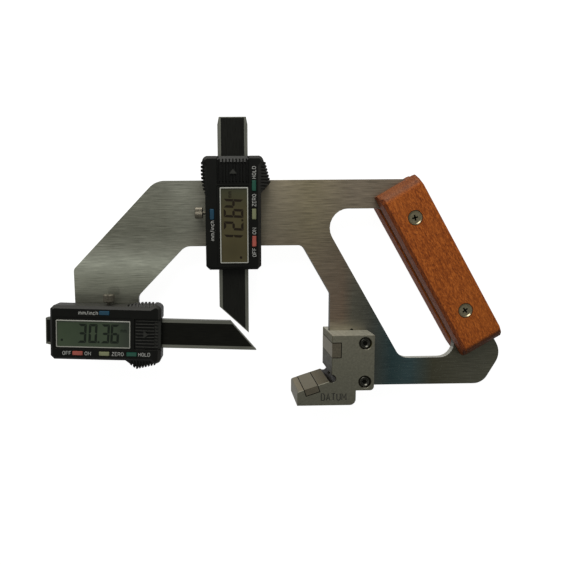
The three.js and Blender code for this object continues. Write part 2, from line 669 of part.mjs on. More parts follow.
function caliper(prefix, place, ends) {
  const group = new THREE.Group();
  const add = (name, body, material) => addPart(group, `${prefix}_${name}`, body, material);
  add('slider_frame', sliderFrame(), castFrame);
  add('mount_screw_inner', mountScrew(MOUNT_SCREWS[0]), screwSteel);
  add('mount_screw_outer', mountScrew(MOUNT_SCREWS[1]), screwSteel);
  add('housing', housing(), blackPlastic);
  add('housing_screw_inner', housingScrew(HOUSING_SCREWS.inner), screwSteel);
  add('housing_screw_outer', housingScrew(HOUSING_SCREWS.outer), screwSteel);
  add('circuit_board', board(), boardGreen);
  add('lcd_bezel', lcdBezel(), silverRim);
  add('lcd_glass', lcdGlass(), displayGlass);
  for (const [name, at] of Object.entries(BUTTONS)) {
    add(`button_${name}`, button(at), buttonFinish[name]);
  }
  add('battery_cover', batteryCover(), blackPlastic);
  add('battery_cell', batteryCell(), nickel);
  add('battery_clip', batteryClip(), brass);
  add('gib_strip', gibStrip(), brass);
  add('lock_pad', lockPad(), brass);
  add('lock_screw', lockScrew(), nickel);
  add('beam', beam(ends), beamSteel);
  add('scale_strip', scaleStrip(ends), scaleBlack);
  group.position.set(place.x, place.y, 0);
  group.rotation.z = place.turn;
  return group;
}

// ---- the whole gauge ----------------------------------------------------------------------

const group = new THREE.Group();
addPart(group, 'frame_plate', framePlate(), plateSteel);
addPart(group, 'datum_block', datumBlock(), blockSteel);
addPart(group, 'datum_insert_side', sideInsert(0), carbide);
addPart(group, 'datum_insert_under', underInsert(0), carbide);
for (const [name, at] of Object.entries(BLOCK_SCREWS)) {
  addPart(group, `block_screw_${name}`, blockScrew(at), darkScrew);
}

const handle = new THREE.Group();
addPart(handle, 'handle_scale_front', frontScale(), wood);
addPart(handle, 'handle_scale_rear', rearScale(), wood);
['upper', 'lower'].forEach((name, i) => {
  addPart(handle, `handle_screw_${name}`, handleScrew(HANDLE_SCREWS[i]), yellowZinc);
  addPart(handle, `handle_nut_${name}`, handleNut(HANDLE_SCREWS[i]), yellowZinc);
});
handle.rotation.z = HANDLE_ANGLE;
group.add(handle);

group.add(caliper('side', SIDE_PLACE, SIDE_BEAM));
group.add(caliper('depth', DEPTH_PLACE, DEPTH_BEAM));
group.position.set(-ORIGIN_X, -ORIGIN_Y, -FLOOR_Z);

export default group;
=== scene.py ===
"""Looks of the digital rail-wear gauge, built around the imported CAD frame.

Pieces are made in millimetres and set into the row frame, in metres. Gauge axes: the plate's
front face is z = 0, +x runs along the bar to the handle and +y to the free end of the depth
beam. Each caliper has its own axes: u along the beam towards the battery, v across it and z
out of the display, with the body's centre at u = 0, v = 0.
"""
import json
import math

import bmesh
import bpy
from mathutils import Matrix, Vector


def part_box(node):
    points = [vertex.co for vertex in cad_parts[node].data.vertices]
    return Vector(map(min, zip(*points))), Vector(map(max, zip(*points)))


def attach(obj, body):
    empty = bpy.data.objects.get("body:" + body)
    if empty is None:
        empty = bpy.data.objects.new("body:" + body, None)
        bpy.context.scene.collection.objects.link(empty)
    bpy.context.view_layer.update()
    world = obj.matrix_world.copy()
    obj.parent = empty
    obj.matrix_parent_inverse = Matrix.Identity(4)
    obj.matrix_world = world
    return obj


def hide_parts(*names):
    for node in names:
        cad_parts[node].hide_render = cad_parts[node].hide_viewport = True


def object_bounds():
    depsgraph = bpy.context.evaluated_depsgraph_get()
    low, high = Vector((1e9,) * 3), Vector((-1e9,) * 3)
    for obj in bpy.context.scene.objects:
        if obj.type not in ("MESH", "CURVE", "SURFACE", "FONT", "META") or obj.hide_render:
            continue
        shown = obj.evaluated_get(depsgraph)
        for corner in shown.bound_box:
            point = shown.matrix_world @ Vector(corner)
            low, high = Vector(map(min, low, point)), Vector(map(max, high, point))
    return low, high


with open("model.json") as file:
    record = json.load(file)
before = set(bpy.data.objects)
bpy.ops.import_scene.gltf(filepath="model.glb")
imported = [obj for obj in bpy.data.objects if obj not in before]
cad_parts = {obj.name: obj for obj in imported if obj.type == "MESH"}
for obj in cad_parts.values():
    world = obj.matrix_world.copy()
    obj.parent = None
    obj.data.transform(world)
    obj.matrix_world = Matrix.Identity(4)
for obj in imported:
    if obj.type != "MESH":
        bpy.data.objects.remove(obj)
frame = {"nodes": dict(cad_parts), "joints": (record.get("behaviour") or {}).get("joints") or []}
cad_low, cad_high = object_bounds()

# ---- sizes and places, in mm and worked out from the frame 

MM = 0.001
GAP = 0.3                                # between pieces that nearly touch
ROOT = "gauge_frame"                     # the body that all that doesn't move rides on
PLATE_LEFT, BAR_TOP = -58, 38.4          # plate edges in gauge axes
plate_low, plate_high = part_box("frame_plate")
GAUGE = Matrix.Translation((plate_low.x - PLATE_LEFT * MM, plate_high.y - BAR_TOP * MM,
                            plate_high.z)) @ Matrix.Scale(MM, 4)

# Camera, standing in gauge axes, and the studio's sheets, in metres
CAMERA_LENS, CAMERA_SHIFT = 33.55, (0.0801, 0.0199)
CAMERA_AT = (27.446, 10.278, 295.2)
CAMERA_TURNS = ((-0.1174, "X"), (-0.0192, "Y"), (-0.0114, "Z"))
FLOOR_HALF, FLOOR_GLOW = 7, 0.95
CARD_HALF, CARD_GLOW, CARD_DROP = 3, 0.5, 0.0005

# Handle: its axes run along it, across it and out of the plate
HANDLE_TURN = math.radians(-60)
HANDLE_START, HANDLE_END = 30.2, 133.6
HANDLE_NEAR, HANDLE_FAR, HANDLE_FRONT = 109.2, 133.4, 10
HANDLE_LINE, HANDLE_SCREWS = 120.7, (50.2, 109.1)
CROSS_HALF, CROSS_ARM = 2.1, 0.58        # a cross recess: half its length and width
TABLE_Z, PLATE_THICK = -14, 4
HANDLE = GAUGE @ Matrix.Rotation(HANDLE_TURN, 4, "Z")

# Datum block and its hook
BLOCK_FRONT, BLOCK_BACK = 15.699, -12.7
BLOCK_LEFT, BLOCK_RIGHT, BLOCK_TOP, BLOCK_BOTTOM = 84.15, 107.5, -46.2, -85.199
STEP_X, STEP_Y = 97.55, -77
ARM_LEFT, ARM_PITCH, ARM_POINT = 65.2, math.atan(1 / 3), (72.6, -75.1)
RELIEF_AT, RELIEF_RADIUS = (84.3, -70.2), 2.15
SIDE_INSERT = (4.85, -50.5, 7.8)         # width, top and height
UNDER_INSERT = (69.2, 7.5, 3.5)          # start, length and depth along the arm's slope
SLOT_LEFT, SLOT_BOTTOM = 85.4, -78.8
BLOCK_EDGE, JOINT = 0.22, 0.45           # broken edge, and gap round an insert
BORE_RADIUS, BORE_DEPTH = 3.5, 3.3
DOWEL_AT, DOWEL_RADIUS = (98.4, -46.3), 0.97
SOCKET_RADIUS, SCREW_TOP = 1.45, BLOCK_FRONT - 0.4
BLOCK_SCREWS = ("upper", "lower")
ENGRAVING = ("DATUM", (85.3, -80.5), 4.4, 14.2)     # word, middle, height and width
ENGRAVING_DEPTH, PAINT_THICK = 0.3, 0.08

# Digital calipers
BODY_START, BODY_END, BODY_HALF = -23.5, 36.5, 14.85
BODY_BACK, BODY_FRONT, BODY_EDGE = 1, 13.4, 1.5
WALL, SKIN_BACK = 1.5, 11.9
BEAM_HALF, BEAM_FRONT = 8, 8.6
LCD_V, LCD_LENGTH, LCD_WIDTH, LCD_RIM = -0.4, 40, 15, 0.52
BUTTON_LENGTH, BUTTON_WIDTH, BUTTON_TOP = 5.7, 2.3, 13.9
# Buttons: name, colour, u and v of the middle. Labels: name, word, middle, width and stroke
BUTTONS = (("power", "red", -8.4, -11.05), ("zero", "yellow", 5.95, -11.05),
           ("hold", "green", 20.75, -11.05), ("units", "blue", 6, 11.3))
LABELS = (("off", "OFF", -14.3, -11.05, 4.7, 0.24), ("on", "ON", -2.95, -11.05, 3.4, 0.24),
          ("zero", "ZERO", 13.2, -11.05, 6.4, 0.23), ("hold", "HOLD", 27.6, -11.05, 6.4, 0.23),
          ("units", "mm/inch", -2.7, 11.25, 10.5, 0.25))
LABEL_HEIGHT = 2.1
COVER_START, COVER_HALF, COVER_FRONT = 22.3, 8.2, 13.2
TONGUE_OUTER, TONGUE_BACK, RUNNER_INNER = 8.95, 10.9, 7.6
RIB_PITCH, RIB_WIDTH = 1.79, 1.1
COVER_FLOOR = 12.5                       # between the cover's ribs
LIP, LIP_TOP = 1.9, 12.67                # the band at the cover's outer end
ARROW_U, ARROW_HALF = 27.1, 2.1
LOCK_U, LOCK_Z, LOCK_TIP = 7, 6.85, 10.7
LOCK_HEAD_START, LOCK_HEAD_END, LOCK_HEAD_RADIUS = 16.4, 20.7, 3.05
KNURL_DEPTH, THREAD_PITCH = 0.12, 0.4
RAIL_TOP = 8.8
HOUSING_SCREWS = ((-18.4, 10.9), (30.5, -11))
THUMB_START, THUMB_RAMP, THUMB_END = 16.6, 6.2, 34.2
THUMB_PEAK, THUMB_LAST = 20.1, 17.1
FINGER_START, FINGER_END, FINGER_RISE = 16.9, 36, 2.25
RIDGES = 9
THUMB_GRIP = {"first": THUMB_START + 3.3, "pitch": 1.62, "tooth": 0.8, "depth": 1.25,
              "front": 12.6, "slope": 0.36, "back": BODY_BACK}
FINGER_GRIP = {"first": FINGER_START + 0.7, "pitch": 1.95, "tooth": 0.85, "depth": 0.85,
               "front": 12.2, "slope": 0.6, "back": 5}
SHOULDER = ((30.5, 0), (33.2, 1.6), (34.8, 1.1), (35.9, 0.3), (BODY_END, -0.9))   # u and rise
POCKET_FLOOR = 13.05                     # shallow recess round the display window
LCD_BACK, LCD_FRONT, RIM_SEAT = 10.3, 13.0, 12.6
DIGIT_CENTRES = (-6.0, -0.2, 6.5, 11.6)
DIGIT_V, DIGIT_HEIGHT, DIGIT_WIDTH = -0.1, 10.5, 4.6
SEGMENT_WIDTH, DIGIT_SLANT = 1.3, 0.05
ONE_SHIFT = 1.2                          # the one stands nearer to its left neighbour
POINT_AT, MARK_AT, UNIT_AT = 3.0, -16.8, (16.3, 1.9)
INK_THICK = 0.02
SEGMENTS = {"0": "abcdef", "1": "bc", "2": "abged", "3": "abgcd", "4": "fgbc", "6": "afgedc"}
READINGS = {"side": "3036", "depth": "1264"}


def caliper_place(prefix):
    """Matrix from a caliper's own axes, in mm, to the row frame."""
    joint = next(j for j in frame["joints"] if j["name"] == f"{prefix}_beam_slide")
    turn = Matrix.Rotation(math.atan2(joint["axis"][1], joint["axis"][0]), 4, "Z")
    low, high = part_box(f"{prefix}_lcd_glass")
    centre = (low + high) / 2 - turn @ Vector((0, LCD_V * MM, 0))
    centre.z = plate_high.z
    return Matrix.Translation(centre) @ turn @ Matrix.Scale(MM, 4)


PLACES = {prefix: caliper_place(prefix) for prefix in ("side", "depth")}
TURNS = {prefix: math.atan2(place[1][0], place[0][0]) for prefix, place in PLACES.items()}


# ---- camera, lights and floor -----------------------------

def put(name, data):
    """A new object with that data, linked to the scene."""
    made = bpy.data.objects.new(name, data)
    bpy.context.scene.collection.objects.link(made)
    return made


def add_camera():
    """A camera nearly straight above the gauge, a little to the left of its middle."""
    data = bpy.data.cameras.new("camera")
    data.sensor_width = 36
    data.lens = CAMERA_LENS
    data.shift_x, data.shift_y = CAMERA_SHIFT
    data.clip_start, data.clip_end = 0.01, 10
    station = Matrix.Translation(GAUGE @ Vector(CAMERA_AT))
    for angle, axis in CAMERA_TURNS:
        station = station @ Matrix.Rotation(angle, 4, axis)
    camera = put("camera", data)
    camera.matrix_world = station
    bpy.context.scene.camera = camera


def add_lamp(name, towards, distance, size, power, colour=(1, 1, 1)):
    """A square soft light that stands at `distance` in that direction from the gauge."""
    data = bpy.data.lights.new(name, "AREA")
    data.size = size
    data.energy = power
    data.color = colour
    direction = Vector(towards).normalized()
    lamp = put(name, data)
    lamp.location = (cad_low + cad_high) / 2 + direction * distance
    lamp.rotation_mode = "QUATERNION"
    lamp.rotation_quaternion = direction.to_track_quat("Z", "Y")


def add_studio():
    """Dim even surroundings, a big soft window above the gauge, a small lamp beside it, a
    white floor that only the camera sees, and a greyer card for the light from below."""
    scene = bpy.context.scene
    scene.view_settings.view_transform = "Standard"
    world = bpy.data.worlds.new("studio")
    world.use_nodes = True
    background = world.node_tree.nodes["Background"]
    background.inputs["Color"].default_value = (0.97, 1.0, 0.95, 1)
    background.inputs["Strength"].default_value = 0.24
    scene.world = world
    add_lamp("window", (-0.3, 1, 0.7), 1.2, 0.9, 14, (1, 0.99, 0.95))
    add_lamp("glint", (-0.3, -0.45, 1), 1.1, 0.12, 0.35, (1, 1, 0.92))

    floor = add_sheet("floor", FLOOR_HALF, 0, 0.2, FLOOR_GLOW)
    floor.visible_glossy = False
    floor.visible_diffuse = False
    card = add_sheet("card", CARD_HALF, -CARD_DROP, 0.1, CARD_GLOW)
    card.visible_camera = False
    card.visible_shadow = False


def add_sheet(name, half, height, base, glow):
    """A wide level sheet that gives off a little even light."""
    mesh = bpy.data.meshes.new(name)
    mesh.from_pydata([(x, y, height) for x, y in rectangle(0, 0, 2 * half, 2 * half, 0)], [],
                     [(0, 1, 2, 3)])
    finish = Finish(f"{name}_white", 0.9, Base_Color=(base, base, base, 1),
                    Emission_Color=(1, 1, 1, 1), Emission_Strength=glow)
    mesh.materials.append(finish.material)
    sheet = put(name, mesh)
    return sheet


# ---- materials --------------------------------------------

class Finish:
    """A procedural material on one Principled shader, in object coordinates in millimetres."""

    def __init__(self, name, roughness=0.5, metallic=0.0, turn=0.0, **constants):
        self.material = bpy.data.materials.new(name)
        self.material.use_nodes = True
        self.tree = self.material.node_tree
        self.shader = self.tree.nodes["Principled BSDF"]
        constants.update(Roughness=roughness, Metallic=metallic)
        for socket, value in constants.items():
            self.shader.inputs[socket.replace("_", " ")].default_value = value
        coordinates = self.tree.nodes.new("ShaderNodeTexCoord").outputs
        self.normal = coordinates["Normal"]
        self.place = self.node("ShaderNodeMapping", {
            "Vector": coordinates["Object"], "Scale": (1 / MM,) * 3,
            "Rotation": (0, 0, -turn)}).outputs[0]

    def node(self, kind, inputs, **settings):
        """A node whose inputs are linked to sockets or set to values."""
        made = self.tree.nodes.new(kind)
        for name, value in settings.items():
            setattr(made, name, value)
        for key, value in inputs.items():
            socket = made.inputs[key]
            if isinstance(value, bpy.types.NodeSocket):
                self.tree.links.new(value, socket)
            else:
                socket.default_value = (*value, 1) if socket.type == "RGBA" else value
        return made

    def set(self, socket, value):
        self.tree.links.new(value, self.shader.inputs[socket])

    def stretched(self, scale):
        """Object coordinates in mm, multiplied by `scale` along each axis."""
        return self.node("ShaderNodeMapping", {"Vector": self.place, "Scale": scale}).outputs[0]

    def parts(self, vector):
        """The x, y and z of a vector."""
        return self.node("ShaderNodeSeparateXYZ", {"Vector": vector}).outputs

    def size(self, value):
        """The value without its sign."""
        return self.node("ShaderNodeMath", {0: value}, operation="ABSOLUTE").outputs[0]

    def noise(self, scale, detail, stretch=(1, 1, 1), roughness=0.55):
        return self.node("ShaderNodeTexNoise", {
            "Vector": self.stretched(stretch), "Scale": scale, "Detail": detail,
            "Roughness": roughness}).outputs["Fac"]

    def ramp(self, factor, stops):
        """Colour ramp from (position, (r, g, b)) stops."""
        made = self.node("ShaderNodeValToRGB", {"Fac": factor})
        elements = made.color_ramp.elements
        while len(elements) < len(stops):
            elements.new(0.5)
        for element, (position, colour) in zip(elements, stops):
            element.position = position
            element.color = (*colour, 1)
        return made.outputs["Color"]

    def span(self, value, low, high, to_low=0.0, to_high=1.0):
        """The value, mapped from one range to the other and held at its ends."""
        return self.node("ShaderNodeMapRange", {
            "Value": value, "From Min": low, "From Max": high, "To Min": to_low,
            "To Max": to_high}).outputs["Result"]

    def mix(self, factor, a, b, blend="MIX"):
        """Colour a where the factor is 0, b where it is 1."""
        return self.node("ShaderNodeMix", {0: factor, 6: a, 7: b}, data_type="RGBA",
                         blend_type=blend).outputs[2]

    def times(self, a, b):
        """The product of two colours."""
        return self.mix(1.0, a, b, "MULTIPLY")

    def fade(self, value, low, high, a, b, most=1.0):
        """Colour a where the value is low, b where it is high. `most` is b's greatest share."""
        return self.mix(self.span(value, low, high, 0.0, most), a, b)

    def bump(self, height, strength, depth_mm):
        made = self.node("ShaderNodeBump", {"Height": height, "Strength": strength,
                                            "Distance": depth_mm * MM})
        self.set("Normal", made.outputs["Normal"])


def steel(name, dark, light, roughness, turn=0.0, grain=(1, 1, 1), metallic=0.85, speckle=0.0,
          painted_light=None, gloss=0.5):
    """Ground or brushed steel: fine lines along the grain, soft mottling and small marks."""
    finish = Finish(name, metallic=metallic, turn=turn, Specular_IOR_Level=gloss)
    lines = finish.noise(1.7, 5.0, grain, 0.7)
    colour = finish.ramp(lines, [(0.32, dark), (0.68, light)])
    colour = finish.fade(finish.noise(0.06, 3.0), 0.35, 0.7, colour, dark, 0.35)
    # Where given, painted light and shade are multiplied into the colour.
    if painted_light:
        colour = finish.times(colour, painted_light(finish))
    if speckle:
        colour = finish.fade(finish.noise(2.2, 2.0), 0.62, 0.75, colour, dark, speckle)
    finish.set("Base Color", colour)
    finish.set("Roughness", finish.span(lines, 0.3, 0.7, roughness - 0.07, roughness + 0.1))
    finish.bump(lines, 0.35, 0.02)
    return finish.material


def plate_painted_light(finish):
    """Painted light and shade on the plate's tone along the gauge: a painted gleam on the side
    leg, browner towards the handle, cool and dark at the foot. Its cut edges get a painted
    highlight where they face the bar and painted shade where they face away."""
    along, across = finish.parts(finish.place)[:2]
    # Side leg: painted shadow of the side caliper across its lower part, a painted gleam higher
    # up.
    leg_gleam_and_shadow = finish.ramp(finish.span(across, -35, 45), [
        (0.0, (0.22, 0.22, 0.19)), (0.2, (0.29, 0.29, 0.25)), (0.34, (0.53, 0.54, 0.475)),
        (0.45, (0.8, 0.82, 0.745)), (0.56, (0.48, 0.48, 0.43)), (0.66, (0.33, 0.33, 0.285)),
        (0.85, (0.39, 0.39, 0.34)), (1.0, (0.37, 0.37, 0.33))])
    bar = finish.ramp(finish.span(along, -60, 100), [
        (0.0, (0.8, 0.81, 0.74)), (0.11, (0.39, 0.38, 0.34)), (0.35, (0.59, 0.505, 0.405)),
        (0.49, (0.54, 0.456, 0.32)), (0.64, (0.495, 0.405, 0.33)), (1.0, (0.465, 0.375, 0.3))])
    # Painted shade along the bar, darker towards its lower edge.
    bar = finish.times(bar, finish.fade(across, 10, 38, (0.75,) * 3, (1.03,) * 3))
    foot = finish.ramp(finish.span(along, 20, 120), [
        (0.07, (0.42, 0.32, 0.26)), (0.17, (0.37, 0.27, 0.21)), (0.23, (0.245, 0.23, 0.195)),
        (0.33, (0.175, 0.177, 0.162)), (0.46, (0.078, 0.142, 0.166)), (0.57, (0.11, 0.185, 0.215)),
        (0.7, (0.155, 0.147, 0.105)), (0.92, (0.235, 0.226, 0.184))])
    # Painted reflection of the datum block: the foot beside it turns paler.
    corner = finish.fade(across, -39, -32, (1, 1, 1), (0, 0, 0))
    corner = finish.fade(along, 40, 52, corner, (0, 0, 0))
    foot = finish.mix(corner, foot, (0.66, 0.6, 0.5))
    tone = finish.fade(along, -62, -35, leg_gleam_and_shadow, finish.fade(across, -20, 20, foot, bar))
    # Cut edges: painted highlight where they face the bar, painted shade where they face away.
    facing = finish.parts(finish.normal)
    edge = finish.fade(facing[1], 0.0, 0.5, (0.1, 0.1, 0.09), (0.95, 0.95, 0.9))
    return finish.fade(finish.size(facing[2]), 0.3, 0.7, edge, tone)


def block_painted_light(finish):
    """Painted light and shade, face by face: the top is painted palest as if lit, the left face
    and the relief are painted darkest as shade, and the front darkens downwards."""
    along, across = finish.parts(finish.place)[:2]
    rightward, upward = finish.parts(finish.normal)[:2]
    front = finish.ramp(finish.span(across, -78, -38), [
        (0.0, (0.3, 0.3, 0.28)), (0.5, (0.36, 0.36, 0.33)), (1.0, (0.42, 0.41, 0.38))])
    left = finish.ramp(finish.span(across, -62, -38), [
        (0.0, (0.035, 0.03, 0.015)), (0.4, (0.07, 0.065, 0.02)), (0.7, (0.14, 0.13, 0.045)),
        (1.0, (0.21, 0.19, 0.08))])
    left = finish.fade(along, 12, 24, (0.38, 0.36, 0.32), left)
    slope = finish.fade(along, 11, 26, (0.48, 0.42, 0.33), (0.17, 0.14, 0.07))
    tone = finish.fade(rightward, -0.8, -0.5, left, front)
    tone = finish.fade(upward, 0.85, 0.93, tone, slope)
    tone = finish.fade(upward, 0.96, 0.99, tone, (1, 1, 0.98))
    # The relief's hollow and a thin ring of the front round it are painted dark: painted shade.
    relief = (plate_low.x / MM - PLATE_LEFT + RELIEF_AT[0],
              plate_high.y / MM - BAR_TOP + RELIEF_AT[1], 0)
    distance = finish.node("ShaderNodeVectorMath", {0: finish.stretched((1, 1, 0)), 1: relief},
                           operation="DISTANCE").outputs["Value"]
    return finish.fade(distance, RELIEF_RADIUS, RELIEF_RADIUS + 0.25, (0.025, 0.02, 0.015), tone)


def insert_painted_light(finish):
    """The inserts' working faces are painted paler than their ends, as painted light; a painted
    highlight shines along their broken edges.
    """
    flat = finish.size(finish.parts(finish.normal)[2])
    # A painted highlight on the bevels, brighter than any real colour.
    fronts_and_edge_highlight = finish.fade(flat, 0.88, 0.94, (5, 4.6, 3.9), (0.45, 0.43, 0.4))
    return finish.fade(flat, 0.3, 0.4, (0.51, 0.48, 0.35), fronts_and_edge_highlight)


def plastic(name, colour, roughness=0.45, spread=0.25, gloss=0.5, painted_lit_colour=None):
    """Moulded plastic with a fine spark-eroded texture and slight wear in its sheen. With a
    painted lit colour, faces that look along +x or +y turn to that colour: painted light on the
    faces towards the lamps."""
    finish = Finish(name, Specular_IOR_Level=gloss)
    grains = finish.noise(6.0, 3.0)
    tone = finish.ramp(finish.noise(0.15, 3.0), [
        (0.3, [c * (1 - spread) for c in colour]), (0.7, [c * (1 + spread) for c in colour])])
    if painted_lit_colour:
        facing = finish.parts(finish.normal)
        tone = finish.fade(facing[0], 0.15, 0.32, tone, painted_lit_colour, 0.75)
        tone = finish.fade(facing[1], 0.25, 0.4, tone, painted_lit_colour)
    finish.set("Base Color", tone)
    finish.set("Roughness", finish.span(grains, 0.35, 0.65, roughness - 0.06, roughness + 0.1))
    finish.bump(grains, 0.25, 0.02)
    return finish.material


def hardwood(name):
    """Oiled reddish hardwood: fine short fibres, soft wavy bands and dark pores."""
    finish = Finish(name, turn=HANDLE_TURN, Specular_IOR_Level=0.2)
    warp = finish.noise(0.05, 3.0, (0.35, 1, 1))
    bands = finish.node("ShaderNodeTexWave", {
        "Vector": finish.stretched((0.02, 1.0, 0.9)), "Scale": 0.09, "Distortion": 5.0,
        "Detail": 4.0, "Detail Scale": 1.2}, bands_direction="Y").outputs["Fac"]
    fibre = finish.noise(1.5, 5.0, (0.3, 1.1, 1.1), 0.7)
    pores = finish.noise(2.2, 2.0, (0.3, 1.2, 1.2), 0.5)
    colour = finish.ramp(fibre, [(0.36, (0.14, 0.027, 0.004)), (0.5, (0.31, 0.071, 0.009)),
                                 (0.64, (0.54, 0.148, 0.024))])
    colour = finish.fade(bands, 0.0, 1.0, colour, (0.24, 0.048, 0.006), 0.22)
    colour = finish.fade(warp, 0.45, 0.7, colour, (0.4, 0.11, 0.015), 0.35)
    colour = finish.fade(pores, 0.58, 0.68, colour, (0.1, 0.02, 0.004), 0.7)
    facing = finish.parts(finish.node("ShaderNodeMapping", {
        "Vector": finish.normal, "Rotation": (0, 0, -HANDLE_TURN)}).outputs[0])
    # Painted light and shade by the way a face looks along the handle and across it.
    for value, low, high, tint in (
            (facing[0], -0.2, -0.45, (0.6, 0.72, 1.3)),      # upper end, painted light
            (facing[0], 0.2, 0.45, (0.3, 0.31, 0.34)),       # lower end, painted shade
            (facing[1], -0.3, -0.6, (0.6, 0.58, 0.9))):      # towards the opening, painted shade
        colour = finish.fade(value, low, high, colour, finish.times(colour, tint))
    finish.set("Base Color", colour)
    finish.set("Roughness", finish.span(pores, 0.4, 0.7, 0.48, 0.66))
    finish.bump(finish.mix(0.5, fibre, pores), 0.5, 0.06)
    return finish.material


def display(prefix, low, high, tint):
    """The display's reflective layer under its window. Its tone is a little uneven, and
    takes on the tint towards the battery."""
    finish = Finish(f"display_{prefix}", roughness=0.28, Coat_Weight=0.5, Coat_Roughness=0.08)
    colour = finish.ramp(finish.noise(0.05, 2.0), [(0.35, low), (0.65, high)])
    axis = PLACES[prefix].to_3x3().col[0].normalized()
    middle = PLACES[prefix].translation.dot(axis) / MM
    along = finish.node("ShaderNodeVectorMath", {0: finish.place, 1: axis},
                        operation="DOT_PRODUCT").outputs["Value"]
    finish.set("Base Color", finish.fade(along, middle + 8, middle + 18, colour,
                                         finish.times(colour, tint)))
    return finish.material


def ink(name, colour, roughness=0.5, gloss=0.5):
    """Printed or etched marks, a little uneven so that they don't read as flat."""
    finish = Finish(name, roughness=roughness, Specular_IOR_Level=gloss)
    finish.set("Base Color", finish.ramp(finish.noise(1.2, 2.0), [
        (0.3, [c * 0.8 for c in colour]), (0.7, colour)]))
    return finish.material


plate_steel = steel("brushed_plate", (0.43, 0.43, 0.395), (0.83, 0.83, 0.775), 0.42,
                    grain=(0.05, 1.3, 1.3), speckle=0.4, painted_light=plate_painted_light)
block_steel = steel("ground_block", (0.36, 0.35, 0.29), (0.52, 0.5, 0.42), 0.45,
                    grain=(0.5, 0.5, 0.08), metallic=0.5, speckle=0.25, painted_light=block_painted_light,
                    gloss=0.25)
carbide = steel("hard_insert", (0.2, 0.18, 0.14), (0.36, 0.325, 0.25), 0.38,
                grain=(0.9, 0.9, 0.9), metallic=0.5, speckle=0.5, painted_light=insert_painted_light)
dark_screw = steel("black_oxide", (0.06, 0.06, 0.05), (0.15, 0.145, 0.125), 0.24, metallic=0.95)
screw_steel = steel("bright_screw", (0.3, 0.29, 0.26), (0.46, 0.45, 0.4), 0.32)
zinc = steel("yellow_zinc", (0.22, 0.19, 0.12), (0.46, 0.4, 0.27), 0.26)
nickel = steel("nickel_plate", (0.1, 0.09, 0.07), (0.21, 0.19, 0.15), 0.42)
brass = steel("worked_brass", (0.5, 0.36, 0.14), (0.66, 0.5, 0.22), 0.3)
cast_frame = steel("cast_frame", (0.02, 0.02, 0.022), (0.045, 0.045, 0.05), 0.5, metallic=0.5)
beam_steel = {p: steel(f"beam_steel_{p}", (0.17, 0.17, 0.15), (0.25, 0.25, 0.21), 0.34,
                       turn=TURNS[p], grain=(0.05, 1.8, 1.8)) for p in PLACES}
scale_black = {p: steel(f"scale_film_{p}", (0.006, 0.006, 0.005), (0.012, 0.012, 0.01), 0.3,
                        turn=TURNS[p], grain=(0.08, 1.2, 1.2), metallic=0.0,
                        gloss={"side": 0.03, "depth": 0.15}[p]) for p in PLACES}
wood = hardwood("hardwood")
# The last colour in each shell is painted light on its faces towards the lamps.
black_plastic = plastic("black_abs", (0.0028, 0.003, 0.0022), 0.45, gloss=0.16,
                        painted_lit_colour=(0.034, 0.033, 0.03))
cover_plastic = plastic("cover_abs", (0.0022, 0.0022, 0.0018), 0.42, gloss=0.2,
                        painted_lit_colour=(0.03, 0.03, 0.027))
worn_plastic = plastic("worn_abs", (0.02, 0.02, 0.017), 0.5, gloss=0.3)
bezel_silver = {p: plastic(f"bezel_{p}", tone, 0.35, 0.1) for p, tone in (
    ("side", (0.29, 0.29, 0.26)), ("depth", (0.42, 0.42, 0.38)))}
circuit_green = plastic("solder_mask", (0.02, 0.09, 0.04), 0.4)
display_face = {"side": display("side", (0.021, 0.038, 0.015), (0.032, 0.052, 0.022),
                                (0.3, 0.35, 0.27)),
                "depth": display("depth", (0.044, 0.034, 0.008), (0.062, 0.05, 0.0155),
                                 (0.72, 0.9, 1.15))}
display_ink = {p: ink(f"ink_{p}", tone, 0.5, 0.15) for p, tone in (
    ("side", (0.009, 0.014, 0.009)), ("depth", (0.014, 0.009, 0.004)))}
# Dark fill: solder in the inserts' joints, and painted shade in screw recesses and the dowel hole.
shade_and_solder_black = ink("shade_and_solder_black", (0.004, 0.004, 0.003), 0.8, 0.05)
label_white = ink("label_white", (0.45, 0.45, 0.43))
engraved_dark = ink("engraved_dark", (0.03, 0.029, 0.024), 0.7)
button_plastic = {word: plastic(f"button_{word}", tone, 0.4, 0.15) for word, tone in (
    ("red", (0.31, 0.068, 0.05)), ("yellow", (0.17, 0.18, 0.098)),
    ("green", (0.003, 0.062, 0.039)), ("blue", (0.001, 0.04, 0.078)))}


# ---- mesh helpers -----------------------------------------

ARC_STEP = math.radians(15)
SHARP = math.radians(32)                 # an edge that turns further is sharp


def rounded(corners):
    """Closed outline from (x, y, radius) corners; each radius becomes an arc."""
    points = []
    for i, (x, y, radius) in enumerate(corners):
        here = Vector((x, y))
        before = Vector(corners[i - 1][:2]) - here
        after = Vector(corners[(i + 1) % len(corners)][:2]) - here
        if not radius:
            points.append((x, y))
            continue
        half = before.angle(after) / 2
        reach = min(radius / math.tan(half), before.length / 2, after.length / 2)
        bisector = (before.normalized() + after.normalized()).normalized()
        centre = here + bisector * reach / math.cos(half)
        start = here + before.normalized() * reach - centre
        end = here + after.normalized() * reach - centre
        sweep = math.copysign(math.pi - 2 * half, start.cross(end))
        count = max(1, math.ceil(abs(sweep) / ARC_STEP))
        for k in range(count + 1):
            spot = centre + Matrix.Rotation(sweep * k / count, 2) @ start
            points.append((spot.x, spot.y))
    return points


